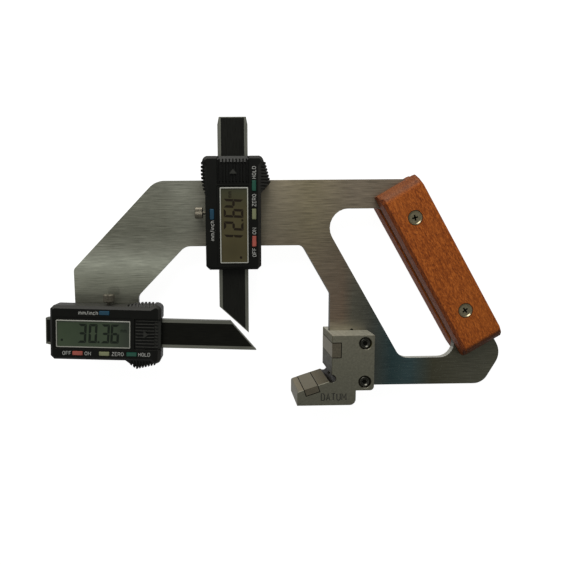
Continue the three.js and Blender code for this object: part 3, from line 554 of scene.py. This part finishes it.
def inset(points, distance):
    """Anticlockwise outline moved inwards."""
    made = []
    for i, point in enumerate(points):
        here = Vector(point)
        first = (here - Vector(points[i - 1])).normalized()
        second = (Vector(points[(i + 1) % len(points)]) - here).normalized()
        normal_a, normal_b = Vector((-first.y, first.x)), Vector((-second.y, second.x))
        shift = (normal_a + normal_b) * distance / (1 + normal_a.dot(normal_b))
        made.append(tuple(here + shift))
    return made


def rectangle(u, v, length, width, radius):
    return rounded([(u + i * length / 2, v + j * width / 2, radius)
                    for i, j in ((-1, -1), (1, -1), (1, 1), (-1, 1))])


def circle(radius, sides):
    return [(radius * math.cos(k * math.tau / sides), radius * math.sin(k * math.tau / sides))
            for k in range(sides)]


def skin(rings):
    """Closed solid through rings of corners, all of equal length."""
    made = bmesh.new()
    rings = [[made.verts.new(corner) for corner in ring] for ring in rings]
    made.faces.new(rings[0])
    made.faces.new(rings[-1])
    for low, high in zip(rings, rings[1:]):
        for i in range(len(low)):
            j = (i + 1) % len(low)
            made.faces.new((low[i], low[j], high[j], high[i]))
    bmesh.ops.recalc_face_normals(made, faces=made.faces)
    return to_mesh(made)


def loft(levels):
    """Closed solid through (z, [(x, y), ...]) outlines, from back to front."""
    return skin([[(x, y, z) for x, y in points] for z, points in levels])


def prism(points, z0, z1):
    return loft([(z0, points), (z1, points)])


def swept(stations):
    """Closed solid through (u, [(v, z), ...]) cross-sections along a caliper."""
    return skin([[(u, v, z) for v, z in section] for u, section in stations])


def swept_across(stations):
    """Closed solid through (v, [(u, z), ...]) cross-sections across a caliper or handle."""
    return skin([[(u, v, z) for u, z in section] for v, section in stations])


def box(u0, u1, v0, v1, z0, z1):
    return prism([(u0, v0), (u1, v0), (u1, v1), (u0, v1)], z0, z1)


def lathe(profile, sides):
    """Turned solid about z from (radius, z) points, which start and end on the axis or close
    on themselves."""
    made = bmesh.new()
    rings = [[made.verts.new((x, y, z)) for x, y in circle(radius, sides if radius else 1)]
             for radius, z in profile]
    for low, high in zip(rings, rings[1:]):
        for k in range(sides):
            j = (k + 1) % sides
            corners = [low[k % len(low)], low[j % len(low)], high[j % len(high)],
                       high[k % len(high)]]
            made.faces.new(list(dict.fromkeys(corners)))
    bmesh.ops.remove_doubles(made, verts=made.verts, dist=1e-6)
    bmesh.ops.recalc_face_normals(made, faces=made.faces)
    return to_mesh(made)


def rod(radius, low, high):
    """Profile of a plain cylinder, for `lathe`."""
    return [(0, low), (radius, low), (radius, high), (0, high)]


def triangulated(mesh):
    made = bmesh.new()
    made.from_mesh(mesh)
    bmesh.ops.triangulate(made, faces=made.faces)
    return to_mesh(made)


def to_mesh(made):
    mesh = bpy.data.meshes.new("part")
    made.to_mesh(mesh)
    made.free()
    return mesh


def moved(mesh, matrix):
    mesh.transform(matrix)
    return mesh


def turned_at(spot, profile, sides):
    """Turned solid about an upright axis through that spot."""
    return moved(lathe(profile, sides), Matrix.Translation(spot))


def combined(mesh, others, operation):
    """Boolean of a closed mesh with other closed meshes, one after another."""
    base = put("base", mesh)
    tools = [put("tool", other) for other in others]
    for tool in tools:
        boolean = base.modifiers.new("boolean", "BOOLEAN")
        boolean.operation = operation
        boolean.solver = "MANIFOLD"
        boolean.object = tool
    return applied(base, *tools)


def applied(piece, *tools):
    """The piece's mesh with its modifiers applied. The piece and its tools are removed."""
    graph = bpy.context.evaluated_depsgraph_get()
    result = bpy.data.meshes.new_from_object(piece.evaluated_get(graph))
    for made in (piece, *tools):
        bpy.data.objects.remove(made)
    return result


def cut(mesh, *tools):
    return combined(mesh, tools, "DIFFERENCE")


def join(mesh, *others):
    return combined(mesh, others, "UNION")


ARCH = [(0, 0.52), (0.15, 0.7), (0.32, 0.7), (0.42, 0.55), (0.42, 0)]
GLYPHS = {
    "A": [[(0, 0), (0.33, 1), (0.66, 0)], [(0.12, 0.33), (0.54, 0.33)]],
    "D": [[(0, 0), (0, 1), (0.38, 1), (0.6, 0.76), (0.6, 0.24), (0.38, 0), (0, 0)]],
    "E": [[(0.5, 1), (0, 1), (0, 0), (0.5, 0)], [(0, 0.52), (0.42, 0.52)]],
    "F": [[(0.5, 1), (0, 1), (0, 0)], [(0, 0.5), (0.42, 0.5)]],
    "H": [[(0, 0), (0, 1)], [(0.58, 0), (0.58, 1)], [(0, 0.52), (0.58, 0.52)]],
    "L": [[(0, 1), (0, 0), (0.5, 0)]],
    "M": [[(0, 0), (0, 1), (0.37, 0.35), (0.74, 1), (0.74, 0)]],
    "N": [[(0, 0), (0, 1), (0.58, 0), (0.58, 1)]],
    "O": [[(0.3, 1), (0.08, 0.88), (0, 0.66), (0, 0.34), (0.08, 0.12), (0.3, 0),
           (0.52, 0.12), (0.6, 0.34), (0.6, 0.66), (0.52, 0.88), (0.3, 1)]],
    "R": [[(0, 0), (0, 1), (0.42, 1), (0.55, 0.87), (0.55, 0.62), (0.42, 0.48), (0, 0.48)],
          [(0.3, 0.48), (0.58, 0)]],
    "T": [[(0, 1), (0.66, 1)], [(0.33, 1), (0.33, 0)]],
    "U": [[(0, 1), (0, 0.22), (0.18, 0), (0.44, 0), (0.62, 0.22), (0.62, 1)]],
    "Z": [[(0, 1), (0.55, 1), (0, 0), (0.56, 0)]],
    "c": [[(0.42, 0.6), (0.3, 0.7), (0.14, 0.7), (0, 0.55), (0, 0.15), (0.14, 0), (0.3, 0),
           (0.42, 0.1)]],
    "h": [[(0, 0), (0, 1)], ARCH],
    "i": [[(0, 0), (0, 0.7)], [(0, 0.86), (0, 1)]],
    "m": [[(0, 0), (0, 0.7)], [(0, 0.55), (0.12, 0.7), (0.28, 0.7), (0.37, 0.55), (0.37, 0)],
          [(0.37, 0.55), (0.49, 0.7), (0.65, 0.7), (0.74, 0.55), (0.74, 0)]],
    "n": [[(0, 0), (0, 0.7)], ARCH],
    "/": [[(0, -0.1), (0.34, 1.05)]],
}


def ribbon(points, width):
    """Outline of a stroke of that width along open points, mitred at its bends."""
    points = [Vector(p) for p in points]
    sides = ([], [])
    for i, point in enumerate(points):
        before = (point - points[i - 1]).normalized() if i else None
        after = (points[i + 1] - point).normalized() if i + 1 < len(points) else None
        first, last = before or after, after or before
        normal = Vector((-first.y - last.y, first.x + last.x)).normalized()
        reach = min(width / 2 / max(normal.dot(Vector((-first.y, first.x))), 0.1), width)
        sides[0].append(tuple(point - normal * reach))
        sides[1].append(tuple(point + normal * reach))
    return sides[0] + sides[1][::-1]


def lettering(text, centre, height, width, stroke, low, high):
    """Plain sans lettering, `width` long and centred there, one closed solid per stroke."""
    strokes, at = [], 0
    for letter in text:
        strokes += [[(x + at, y) for x, y in line] for line in GLYPHS[letter]]
        at += max(x for line in GLYPHS[letter] for x, y in line) + 0.3
    stretch = (width - stroke) / (at - 0.3)
    rise = height - stroke
    placed = [[(centre[0] + x * stretch - (width - stroke) / 2,
                centre[1] + (y - 0.5) * rise) for x, y in line] for line in strokes]
    return [prism(ribbon(line, stroke), low, high) for line in placed]


def merged(meshes):
    """Several meshes as one, left as they are."""
    made = bmesh.new()
    for mesh in meshes:
        made.from_mesh(mesh)
    return to_mesh(made)


def broken(mesh, width, segments=2):
    """The mesh with its sharp edges broken by that width, in its own units."""
    holder = put("holder", mesh)
    break_edges(holder, width, segments)
    return applied(holder)


def break_edges(piece, width, segments, harden=False):
    if not harden:
        flat = piece.modifiers.new("flat", "DECIMATE")
        flat.decimate_type = "DISSOLVE"
        flat.angle_limit = math.radians(0.5)
    edge = piece.modifiers.new("edge", "BEVEL")
    edge.width = width
    edge.segments = segments
    edge.limit_method = "ANGLE"
    edge.angle_limit = SHARP
    edge.use_clamp_overlap = False
    edge.harden_normals = harden


def shade(piece, harden=False):
    """Smooth shading that keeps flat faces flat and sharp edges sharp. A bevel that hardens
    its normals sees to that by itself."""
    piece.data.polygons.foreach_set("use_smooth", [True] * len(piece.data.polygons))
    if harden:
        return
    normals = piece.modifiers.new("normals", "WEIGHTED_NORMAL")
    normals.weight = 100
    normals.keep_sharp = True


def add_piece(name, mesh, place, material, node="", body=ROOT):
    """One finished piece in the row frame, riding on its body. It may stand for a CAD node."""
    mesh.name = name
    mesh.transform(place)
    mesh.materials.clear()
    mesh.materials.append(material)
    piece = put(name, mesh)
    shade(piece)
    mesh.set_sharp_from_angle(angle=SHARP)
    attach(piece, body)
    if node:
        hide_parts(node)


def dress(node, material, bevel, segments=2, harden=False):
    """A CAD node that keeps its shape gets its material and broken edges."""
    piece = frame["nodes"][node]
    piece.data.materials.clear()
    piece.data.materials.append(material)
    break_edges(piece, bevel * MM, segments, harden)
    shade(piece, harden)


# ---- handle and datum block -------------------------------

def scale_profile(drop):
    """Long section of a handle scale as (along, z), lowered by `drop` near its long edges."""
    low, shoulder, top = 4.8 - 0.5 * drop, 8.1 - drop, HANDLE_FRONT - drop
    return [(HANDLE_START, GAP), (HANDLE_END, GAP), (HANDLE_END, low),
            (HANDLE_END - 2.6, shoulder), (HANDLE_END - 6.6, top), (HANDLE_START + 6.6, top),
            (HANDLE_START + 2.6, shoulder), (HANDLE_START, low)]


def handle_scale(bore):
    """One handle scale in handle axes, with flat facets on its ends and long edges."""
    near, far = 1.7, 0.8
    across = ((HANDLE_NEAR, near), (HANDLE_NEAR + near, 0), (HANDLE_FAR - far, 0),
              (HANDLE_FAR, far))
    block = swept_across([(n, scale_profile(drop)) for n, drop in across])
    holes = [turned_at((along, HANDLE_LINE, 0), bore, 32) for along in HANDLE_SCREWS]
    return cut(broken(block, 0.4, 3), *holes)


def cross(turn, low, high, low_share, grow=0.0):
    """The two arms of a cross recess, narrowing downwards."""
    length, width = 2 * (CROSS_HALF + grow), 2 * (CROSS_ARM + grow)
    levels = [(z, rectangle(0, 0, length * share, width * share, 0))
              for z, share in ((low, low_share), (high, 1))]
    return [moved(loft(levels), Matrix.Rotation(angle, 4, "Z"))
            for angle in (turn, turn + math.pi / 2)]


def countersunk_screw(turn):
    """Countersunk screw about z: a dished head with a bright rim and a cross recess."""
    top, tip = HANDLE_FRONT - 0.15, TABLE_Z + 0.8
    screw = lathe([(0, tip), (1.6, tip), (1.9, tip + 0.3), (1.9, top - 2.1), (3.75, top - 0.35),
                   (3.75, top), (3.6, top), (3.05, top - 0.5), (0, top - 0.4)], 40)
    return cut(screw, *cross(turn, top - 1.9, top + 0.6, 0.5))


def upright_place(node):
    """Matrix from an upright round node's own axes, in mm with gauge z, to the row frame."""
    low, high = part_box(node)
    middle = (low + high) / 2
    return Matrix.Translation((middle.x, middle.y, plate_high.z)) @ Matrix.Scale(MM, 4)


def add_handle():
    front = HANDLE_FRONT
    sunk = [(0, -1), (2.2, -1), (2.2, front - 2.4), (4.15, front - 0.5), (4.15, front + 1),
            (0, front + 1)]
    add_piece("front_scale", handle_scale(sunk), HANDLE, wood, "handle_scale_front")
    nut = [(0, -1), (2.2, -1), (2.2, 6), (4.3, 6), (4.3, front + 1), (0, front + 1)]
    behind = Matrix.Translation((0, 0, -PLATE_THICK)) @ Matrix.Scale(-1, 4, (0, 0, 1))
    rear = moved(handle_scale(nut), behind)
    rear.flip_normals()
    add_piece("rear_scale", rear, HANDLE, wood, "handle_scale_rear")
    depth = front - 0.8
    for end, turn in (("upper", math.radians(15)), ("lower", math.radians(38))):
        node = f"handle_screw_{end}"
        place = upright_place(node)
        add_piece(f"cross_screw_{end}", countersunk_screw(turn), place, zinc, node)
        # A dark plug low in the cross recess: painted shade.
        hollow = merged(cross(turn, depth - 0.5, depth, 0.8, 0.02))
        add_piece(f"cross_shade_plug_{end}", hollow, place, shade_and_solder_black)
        dress(f"handle_nut_{end}", zinc, 0.2)


def socket_screw():
    """Socket head cap screw about z, in gauge heights, with a wide countersink."""
    top, seat = SCREW_TOP, BLOCK_FRONT - 3
    screw = lathe([(0, -10), (1.3, -10), (1.5, -9.8), (1.5, seat), (2.75, seat),
                   (2.75, top - 0.3), (2.45, top), (2.15, top), (1.6, top - 0.6),
                   (0, top - 0.6)], 40)
    return cut(screw, prism(circle(SOCKET_RADIUS, 6), top - 1.7, top + 1))


def arm_y(x):
    """Height of the arm's sloping face, in gauge axes."""
    return ARM_POINT[1] + (x - ARM_POINT[0]) * math.tan(ARM_PITCH)


def arm_slope(x):
    """Matrix from axes that lie on the arm's sloping face, with their origin at that x."""
    return Matrix.Translation((x, arm_y(x), 0)) @ Matrix.Rotation(ARM_PITCH, 4, "Z")


def pockets(grow, mouth, low, high):
    """The spaces of the two inserts, wider by `grow` and reaching `mouth` past the faces."""
    width, top, height = SIDE_INSERT
    start, length, depth = UNDER_INSERT
    under = box(-grow, length + grow, -depth - grow, mouth, low, high)
    return [box(BLOCK_LEFT - mouth, BLOCK_LEFT + width + grow, top - height - grow, top + grow,
                low, high),
            moved(under, arm_slope(start))]


def block_solid():
    """The datum block in gauge axes, with its long edges broken."""
    back, front, low, high = BLOCK_BACK, BLOCK_FRONT, BLOCK_BACK - 1, BLOCK_FRONT + 1
    neck = BLOCK_LEFT - 0.5
    edge = rounded([
        (BLOCK_LEFT, BLOCK_TOP, 0.15), (BLOCK_LEFT, RELIEF_AT[1], 0), (neck, arm_y(neck), 0),
        (ARM_LEFT, arm_y(ARM_LEFT), 1.3), (ARM_LEFT, BLOCK_BOTTOM, 0.15),
        (STEP_X, BLOCK_BOTTOM, 3.3), (STEP_X, STEP_Y, 0.2), (BLOCK_RIGHT, STEP_Y, 2.2),
        (BLOCK_RIGHT, BLOCK_TOP, 0.4)])
    trimmed = inset(edge, BLOCK_EDGE)
    solid = loft([(back, trimmed), (back + BLOCK_EDGE, edge), (front - BLOCK_EDGE, edge),
                  (front, trimmed)])
    radius, rim = RELIEF_RADIUS, RELIEF_RADIUS + BLOCK_EDGE
    relief = [(0, low), (rim, low), (rim, back), (radius, back + BLOCK_EDGE),
              (radius, front - BLOCK_EDGE), (rim, front), (rim, high), (0, high)]
    slot = box(SLOT_LEFT, BLOCK_RIGHT + 1, SLOT_BOTTOM, BLOCK_TOP + 1, -PLATE_THICK - GAP, GAP)
    tools = [turned_at((*RELIEF_AT, 0), relief, 32), slot, *pockets(JOINT, 1, low, high)]
    seat, mouth = front - BORE_DEPTH, BORE_RADIUS + 0.2
    bore = [(0, -10 - GAP), (1.8, -10 - GAP), (1.8, seat), (BORE_RADIUS, seat),
            (BORE_RADIUS, front - 0.2), (mouth, front), (mouth, high), (0, high)]
    for end in BLOCK_SCREWS:
        place = GAUGE.inverted() @ upright_place(f"block_screw_{end}")
        tools.append(moved(lathe(bore, 40), place))
    return cut(triangulated(solid), *tools)


def insert_joints():
    """Dark solder in the gaps round the two inserts, just below the block's faces."""
    sunk, clear = 0.06, 0.01
    low, high = BLOCK_BACK + sunk, BLOCK_FRONT - sunk
    outer = pockets(JOINT - clear, -sunk, low, high)
    inner = pockets(clear, 1, low - 1, high + 1)
    return [cut(space, insert) for space, insert in zip(outer, inner)]


def add_block():
    floor = BLOCK_FRONT - ENGRAVING_DEPTH
    engraved = cut(block_solid(), *lettering(*ENGRAVING, 0.62, floor, BLOCK_FRONT + 1))
    add_piece("engraved_block", engraved, GAUGE, block_steel, "datum_block")
    paint = lettering(*ENGRAVING, 0.6, floor - PAINT_THICK, floor + PAINT_THICK)
    add_piece("engraving_paint", merged(paint), GAUGE, engraved_dark)
    for insert, edge in (("side", 0.2), ("under", 0.45)):
        dress(f"datum_insert_{insert}", carbide, edge)
    add_piece("insert_joints", merged(insert_joints()), GAUGE, shade_and_solder_black)
    for end in BLOCK_SCREWS:
        node = f"block_screw_{end}"
        place = upright_place(node)
        add_piece(f"socket_screw_{end}", socket_screw(), place, dark_screw, node)
        # A dark plug low in the hex socket: painted shade.
        hollow = prism(circle(SOCKET_RADIUS + 0.02, 6), SCREW_TOP - 1.7, SCREW_TOP - 0.9)
        add_piece(f"socket_shade_plug_{end}", hollow, place, shade_and_solder_black)
    # A dark plug in the dowel hole: painted shade.
    hole_shade = turned_at((*DOWEL_AT, 0), rod(DOWEL_RADIUS, -PLATE_THICK, -0.1), 24)
    add_piece("dowel_shade_plug", hole_shade, GAUGE, shade_and_solder_black)


# ---- calipers ---------------------------------------------

SIDEWAYS = Matrix.Rotation(-math.pi / 2, 4, "X")     # from z to across a caliper


def add_part(prefix, name, mesh, material, node="", body=""):
    """A piece of one caliper, made in its axes: `add_piece` with the names' prefix."""
    add_piece(f"{prefix}_{name}", mesh, PLACES[prefix], material,
              f"{prefix}_{node}" if node else "", f"{prefix}_{body}" if body else ROOT)


def body_outline():
    """Body without its grips: chamfered at the thumb end, wider and rounder at the battery."""
    side = [(BODY_START, BODY_HALF - 2), (BODY_START + 2, BODY_HALF)]
    side += [(u, BODY_HALF + rise) for u, rise in SHOULDER]
    return [(u, -v) for u, v in side] + side[::-1]


def thumb_edge(u):
    """Outer edge of the big thumb grip, as a distance from the body's middle."""
    rise = THUMB_START + THUMB_RAMP
    if u < rise:
        return BODY_HALF + (THUMB_PEAK - BODY_HALF) * (u - THUMB_START) / THUMB_RAMP
    return THUMB_PEAK - (THUMB_PEAK - THUMB_LAST) * (u - rise) / (THUMB_END - rise)


def finger_edge(u):
    """Outer edge of the shallow finger grip, a low arc that is highest near the battery."""
    share = max(0, (u - FINGER_START) / (FINGER_END - FINGER_START))
    return BODY_HALF + FINGER_RISE * math.sin(0.78 * math.pi * share) ** 0.6


def grip(edge, side, first, pitch, tooth, depth, front, slope, back):
    """Ridged grip along one long side, from `back` up; its front slopes down outwards."""
    half = tooth / 2
    foot = half + 0.15
    stations = [(first + pitch * i + offset, drop) for i in range(RIDGES)
                for offset, drop in ((-foot, depth), (-half, 0), (half, 0), (foot, depth))]
    stations.insert(0, (stations[0][0] - pitch / 2, depth))
    stations.append((stations[-1][0] + pitch / 2, depth))
    shoulder = BODY_HALF - 1.2
    sections = []
    for u, drop in stations:
        outer = max(edge(u) - drop, BODY_HALF - 0.6)
        top = front - drop * 0.5
        lip = top - (outer - shoulder) * slope
        sections.append((u, [(side * v, z) for v, z in (
            (shoulder - 1.2, back), (outer - 0.6, back), (outer, back + 0.6),
            (outer, lip - 0.4), (outer - 0.4, lip), (shoulder, top),
            (shoulder - 1.2, top))]))
    return swept(sections)


def thumb_ramp():
    """Smooth slope up to the thumb grip's first ridge."""
    sections = []
    for u in (THUMB_START - 0.2, THUMB_START + 3.2):
        edge = thumb_edge(u)
        sections.append((u, [(-v, z) for v, z in (
            (BODY_HALF - 2.4, BODY_BACK), (edge - 0.3, BODY_BACK),
            (edge - 0.3, 11.6 - (edge - BODY_HALF) * THUMB_GRIP["slope"]), (BODY_HALF - 1.2, 12.2),
            (BODY_HALF - 2.4, 12.2))]))
    return swept(sections)


def window(less, radius):
    """Outline of the opening inside the display's rim, smaller by `less` all round."""
    return rectangle(0, LCD_V, LCD_LENGTH - 2 * (LCD_RIM + less),
                     LCD_WIDTH - 2 * (LCD_RIM + less), radius)


def openings():
    """All that is cut out of a housing, as closed solids."""
    front, wide = BODY_FRONT + 1, BODY_HALF - WALL - 0.1
    lock = moved(lathe(rod(1.3, -3, 3), 24),
                 Matrix.Translation((LOCK_U, BODY_HALF, LOCK_Z)) @ SIDEWAYS)
    buttons = [prism(rectangle(u, v, BUTTON_LENGTH + GAP, BUTTON_WIDTH + GAP, 0.7),
                     SKIN_BACK - 1, front) for name, colour, u, v in BUTTONS]
    return [
        box(BODY_START + WALL, BODY_END - WALL, -wide, wide, BODY_BACK - 1, SKIN_BACK),
        box(BODY_START - 1, BODY_END + 1, -BEAM_HALF - 0.5, BEAM_HALF + 0.5, BODY_BACK - 1,
            BEAM_FRONT + GAP),
        prism(rectangle(0, 0.1, LCD_LENGTH + 2.2, LCD_WIDTH + 2.6, 0.8), POCKET_FLOOR, front),
        prism(rectangle(0, LCD_V, LCD_LENGTH, LCD_WIDTH, 0.5), RIM_SEAT, front),
        prism(window(0, 0.3), SKIN_BACK - 1, front), lock,
        box(COVER_START - GAP, BODY_END + 1, -COVER_HALF - GAP, COVER_HALF + GAP,
            SKIN_BACK - 1, front),
        box(BODY_END - 2 * WALL, BODY_END + 1, -TONGUE_OUTER - GAP, TONGUE_OUTER + GAP,
            TONGUE_BACK - GAP, SKIN_BACK),
        *buttons]


def add_housing(prefix):
    edge = body_outline()
    shell = broken(loft([(BODY_BACK, edge), (BODY_FRONT - BODY_EDGE, edge),
                         (BODY_FRONT, inset(edge, BODY_EDGE))]), 0.22)
    grips = [grip(thumb_edge, -1, **THUMB_GRIP), grip(finger_edge, 1, **FINGER_GRIP)]
    body = cut(join(shell, thumb_ramp(), *grips), *openings())
    ledge = box(COVER_START - 1, COVER_START + 1.2, -7.3, 7.3, SKIN_BACK + 0.05, 12.3)
    inner, low, high = 0.9 + GAP, RAIL_TOP + GAP, SKIN_BACK + 0.3
    sleeve = [(inner, low), (1.8, low), (1.8, high), (inner, high), (inner, low)]
    bosses = [turned_at((u, v, 0), sleeve, 24) for u, v in HOUSING_SCREWS]
    add_part(prefix, "shell", join(body, ledge, *bosses), black_plastic,
             "housing")


def add_labels(prefix):
    """Printed words beside the buttons, all plain functions."""
    for name, text, u, v, width, stroke in LABELS:
        strokes = lettering(text, (u, v), LABEL_HEIGHT, width, stroke, BODY_FRONT - INK_THICK,
                            BODY_FRONT + INK_THICK)
        add_part(prefix, f"label_{name}", merged(strokes), label_white)


def add_cover(prefix):
    """Sliding battery cover: nine ribs along it, an end lip and a raised arrow."""
    end = BODY_END - 0.2
    profile = [(COVER_START, 12.4), (end - 1.5, 12.4), (end - 1.5, 11.2), (end, 11.2),
               (end, 11.9), (end - LIP, LIP_TOP), (end - LIP, COVER_FLOOR),
               (COVER_START, COVER_FLOOR)]
    plate = swept_across([(v, profile) for v in (-COVER_HALF, COVER_HALF)])
    ribs = [rib((i - 4) * RIB_PITCH, end - 1.5) for i in range(9)]
    teeth = [comb_tooth((i - 3.5) * RIB_PITCH, end - LIP) for i in range(8)]
    triangle = rounded([(ARROW_U, -ARROW_HALF, 0.2), (ARROW_U + 2.5, 0, 0.2),
                        (ARROW_U, ARROW_HALF, 0.2)])
    arrow = prism(triangle, COVER_FLOOR - 0.2, COVER_FRONT)
    runners = []
    for side in (-1, 1):
        for reach, low, high in ((TONGUE_OUTER, TONGUE_BACK, 11.5),
                                 (COVER_HALF, 11.4, COVER_FLOOR)):
            v_low, v_high = sorted((RUNNER_INNER * side, reach * side))
            runners.append(box(COVER_START, end, v_low, v_high, low, high))
    add_part(prefix, "ribbed_cover", join(plate, *ribs, *teeth, arrow, *runners), cover_plastic,
             "battery_cover", "battery_cover")
    paint = prism(triangle, COVER_FRONT - 0.1, COVER_FRONT + 0.1)
    add_part(prefix, "cover_arrow", paint, worn_plastic, body="battery_cover")


def comb_tooth(v, lip):
    """Small ramp between two ribs that runs on into the slope of the cover's outer end."""
    half = (RIB_PITCH - 0.75) / 2
    top, base = COVER_FRONT - 0.05, COVER_FLOOR - 0.1
    section = [(lip - 1.6, base), (lip - 1.6, top - 0.3), (lip - 1.3, top),
               (lip + 0.1, LIP_TOP - 0.04), (lip + 0.1, base)]
    return swept_across([(v - half, section), (v + half, section)])


def rib(v, end):
    """One rib of the battery cover, with drafted sides and a sloping thumb end."""
    start, base = COVER_START + 0.4, COVER_FLOOR - 0.2
    wide, narrow = RIB_WIDTH / 2, RIB_WIDTH / 2 - 0.4
    return swept([
        (u, [(v - wide, base), (v + wide, base), (v + narrow, top), (v - narrow, top)])
        for u, top in ((start, base + 0.25), (start + 0.5, COVER_FRONT), (end, COVER_FRONT))])


def segment_shapes():
    """The seven segments of a numeral, each an outline in mm about the numeral's centre."""
    w, h, t, g = DIGIT_WIDTH / 2, DIGIT_HEIGHT / 2, SEGMENT_WIDTH, 0.12
    top = [(-w + g, h), (w - g, h), (w - t - g, h - t), (-w + t + g, h - t)]
    side = [(w, h - g), (w, g), (w - t / 2, g), (w - t, t / 2 + g), (w - t, h - t - g)]
    middle = [(-w + t / 2 + g, 0), (-w + t + g, t / 2), (w - t - g, t / 2),
              (w - t / 2 - g, 0), (w - t - g, -t / 2), (-w + t + g, -t / 2)]
    return {
        "a": top, "d": [(x, -y) for x, y in top], "g": middle, "b": side,
        "c": [(x, -y) for x, y in side], "f": [(-x, y) for x, y in side],
        "e": [(-x, -y) for x, y in side]}


def numerals(reading):
    """The display's reading as slanted outlines, with its decimal point and a low mark."""
    shapes = segment_shapes()
    outlines = []
    for character, u in zip(reading, DIGIT_CENTRES):
        u -= ONE_SHIFT if character == "1" else 0
        outlines += [[(x + u, y) for x, y in shapes[key]] for key in SEGMENTS[character]]
    outlines.append(rectangle(POINT_AT, -DIGIT_HEIGHT / 2 + 0.6, 1.1, 1.1, 0.3))
    outlines.append(rectangle(MARK_AT, -3.8, 1.2, 1.2, 0.1))
    return [[(x + DIGIT_SLANT * y, y + DIGIT_V) for x, y in points] for points in outlines]


def add_display(prefix):
    """Display panel in its rim, with a reading in thin dark shapes just proud of it."""
    add_part(prefix, "display_panel", prism(window(0.1, 0.2), LCD_BACK, LCD_FRONT),
             display_face[prefix], "lcd_glass")
    low, high = ((corner.z - plate_high.z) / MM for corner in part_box(f"{prefix}_lcd_bezel"))
    outer = rectangle(0, LCD_V, LCD_LENGTH, LCD_WIDTH, 0.5)
    rim = loft([(low, outer), (high - 0.15, outer), (high, inset(outer, 0.15))])
    add_part(prefix, "window_rim", cut(rim, prism(window(0, 0.3), low - 1, high + 1)),
             bezel_silver[prefix], "lcd_bezel")
    back, front = LCD_FRONT - 0.05, LCD_FRONT + INK_THICK
    digits = [prism(points, back, front) for points in numerals(READINGS[prefix])]
    unit = lettering("mm", UNIT_AT, 2.3, 3.3, 0.3, back, front)
    for name, solids in (("numerals", digits), ("unit_mark", unit)):
        add_part(prefix, name, merged(solids), display_ink[prefix])


def add_buttons(prefix):
    """Buttons with a flange behind the front wall and a softly crowned cap."""
    behind = SKIN_BACK - GAP
    for name, colour, u, v in BUTTONS:
        cap = loft([(z, rectangle(u, v, BUTTON_LENGTH - less, BUTTON_WIDTH - less, 0.5))
                    for z, less in ((behind - 0.3, 0), (BUTTON_TOP - 0.45, 0),
                                    (BUTTON_TOP - 0.12, 0.35), (BUTTON_TOP, 1.1))])
        flange = prism(rectangle(u, v, BUTTON_LENGTH + 1.2, BUTTON_WIDTH + 1.2, 0.8),
                       behind - 0.6, behind)
        add_part(prefix, f"cap_{name}", join(cap, flange), button_plastic[colour],
                 f"button_{name}", f"button_{name}")


def add_lock_screw(prefix):
    """Knurled thumb head on a thin threaded stem."""
    points = 80                          # round the head, in and out by turns
    start, end = LOCK_HEAD_START, LOCK_HEAD_END
    crest, root = (circle(radius, points)
                   for radius in (LOCK_HEAD_RADIUS, LOCK_HEAD_RADIUS - KNURL_DEPTH))
    knurl = [(root if k % 2 else crest)[k] for k in range(points)]
    head = loft([(z, [(x * share, y * share) for x, y in knurl]) for z, share in (
        (start, 0.86), (start + 0.4, 1), (end - 0.4, 1), (end, 0.86))])
    at = LOCK_TIP + 0.3
    thread = [(0, LOCK_TIP), (0.7, LOCK_TIP), (0.86, at)]
    while at < BODY_HALF - 0.3:
        thread += [(1.0, at + THREAD_PITCH / 2), (0.86, at + THREAD_PITCH)]
        at += THREAD_PITCH
    thread += [(0.95, at + 0.3), (0.95, start + 0.5), (0, start + 0.5)]
    screw = moved(join(head, lathe(thread, 24)),
                  Matrix.Translation((LOCK_U, 0, LOCK_Z)) @ SIDEWAYS)
    add_part(prefix, "thumb_screw", screw, nickel, "lock_screw", "lock_screw")


def add_caliper(prefix):
    for name, material, edge in (
            ("slider_frame", cast_frame, 0.15), ("mount_screw_inner", dark_screw, 0.15),
            ("mount_screw_outer", dark_screw, 0.15), ("housing_screw_inner", screw_steel, 0.1),
            ("housing_screw_outer", screw_steel, 0.1), ("circuit_board", circuit_green, 0.05),
            ("battery_cell", nickel, 0.2), ("battery_clip", brass, 0.05),
            ("gib_strip", brass, 0.05), ("lock_pad", brass, 0.1),
            ("beam", beam_steel[prefix], 0.18), ("scale_strip", scale_black[prefix], 0.04)):
        dress(f"{prefix}_{name}", material, edge)
    for add in (add_housing, add_labels, add_cover, add_display, add_buttons, add_lock_screw):
        add(prefix)


add_camera()
add_studio()
dress("frame_plate", plate_steel, 0.35, 3, harden=True)
add_handle()
add_block()
for caliper in PLACES:
    add_caliper(caliper)
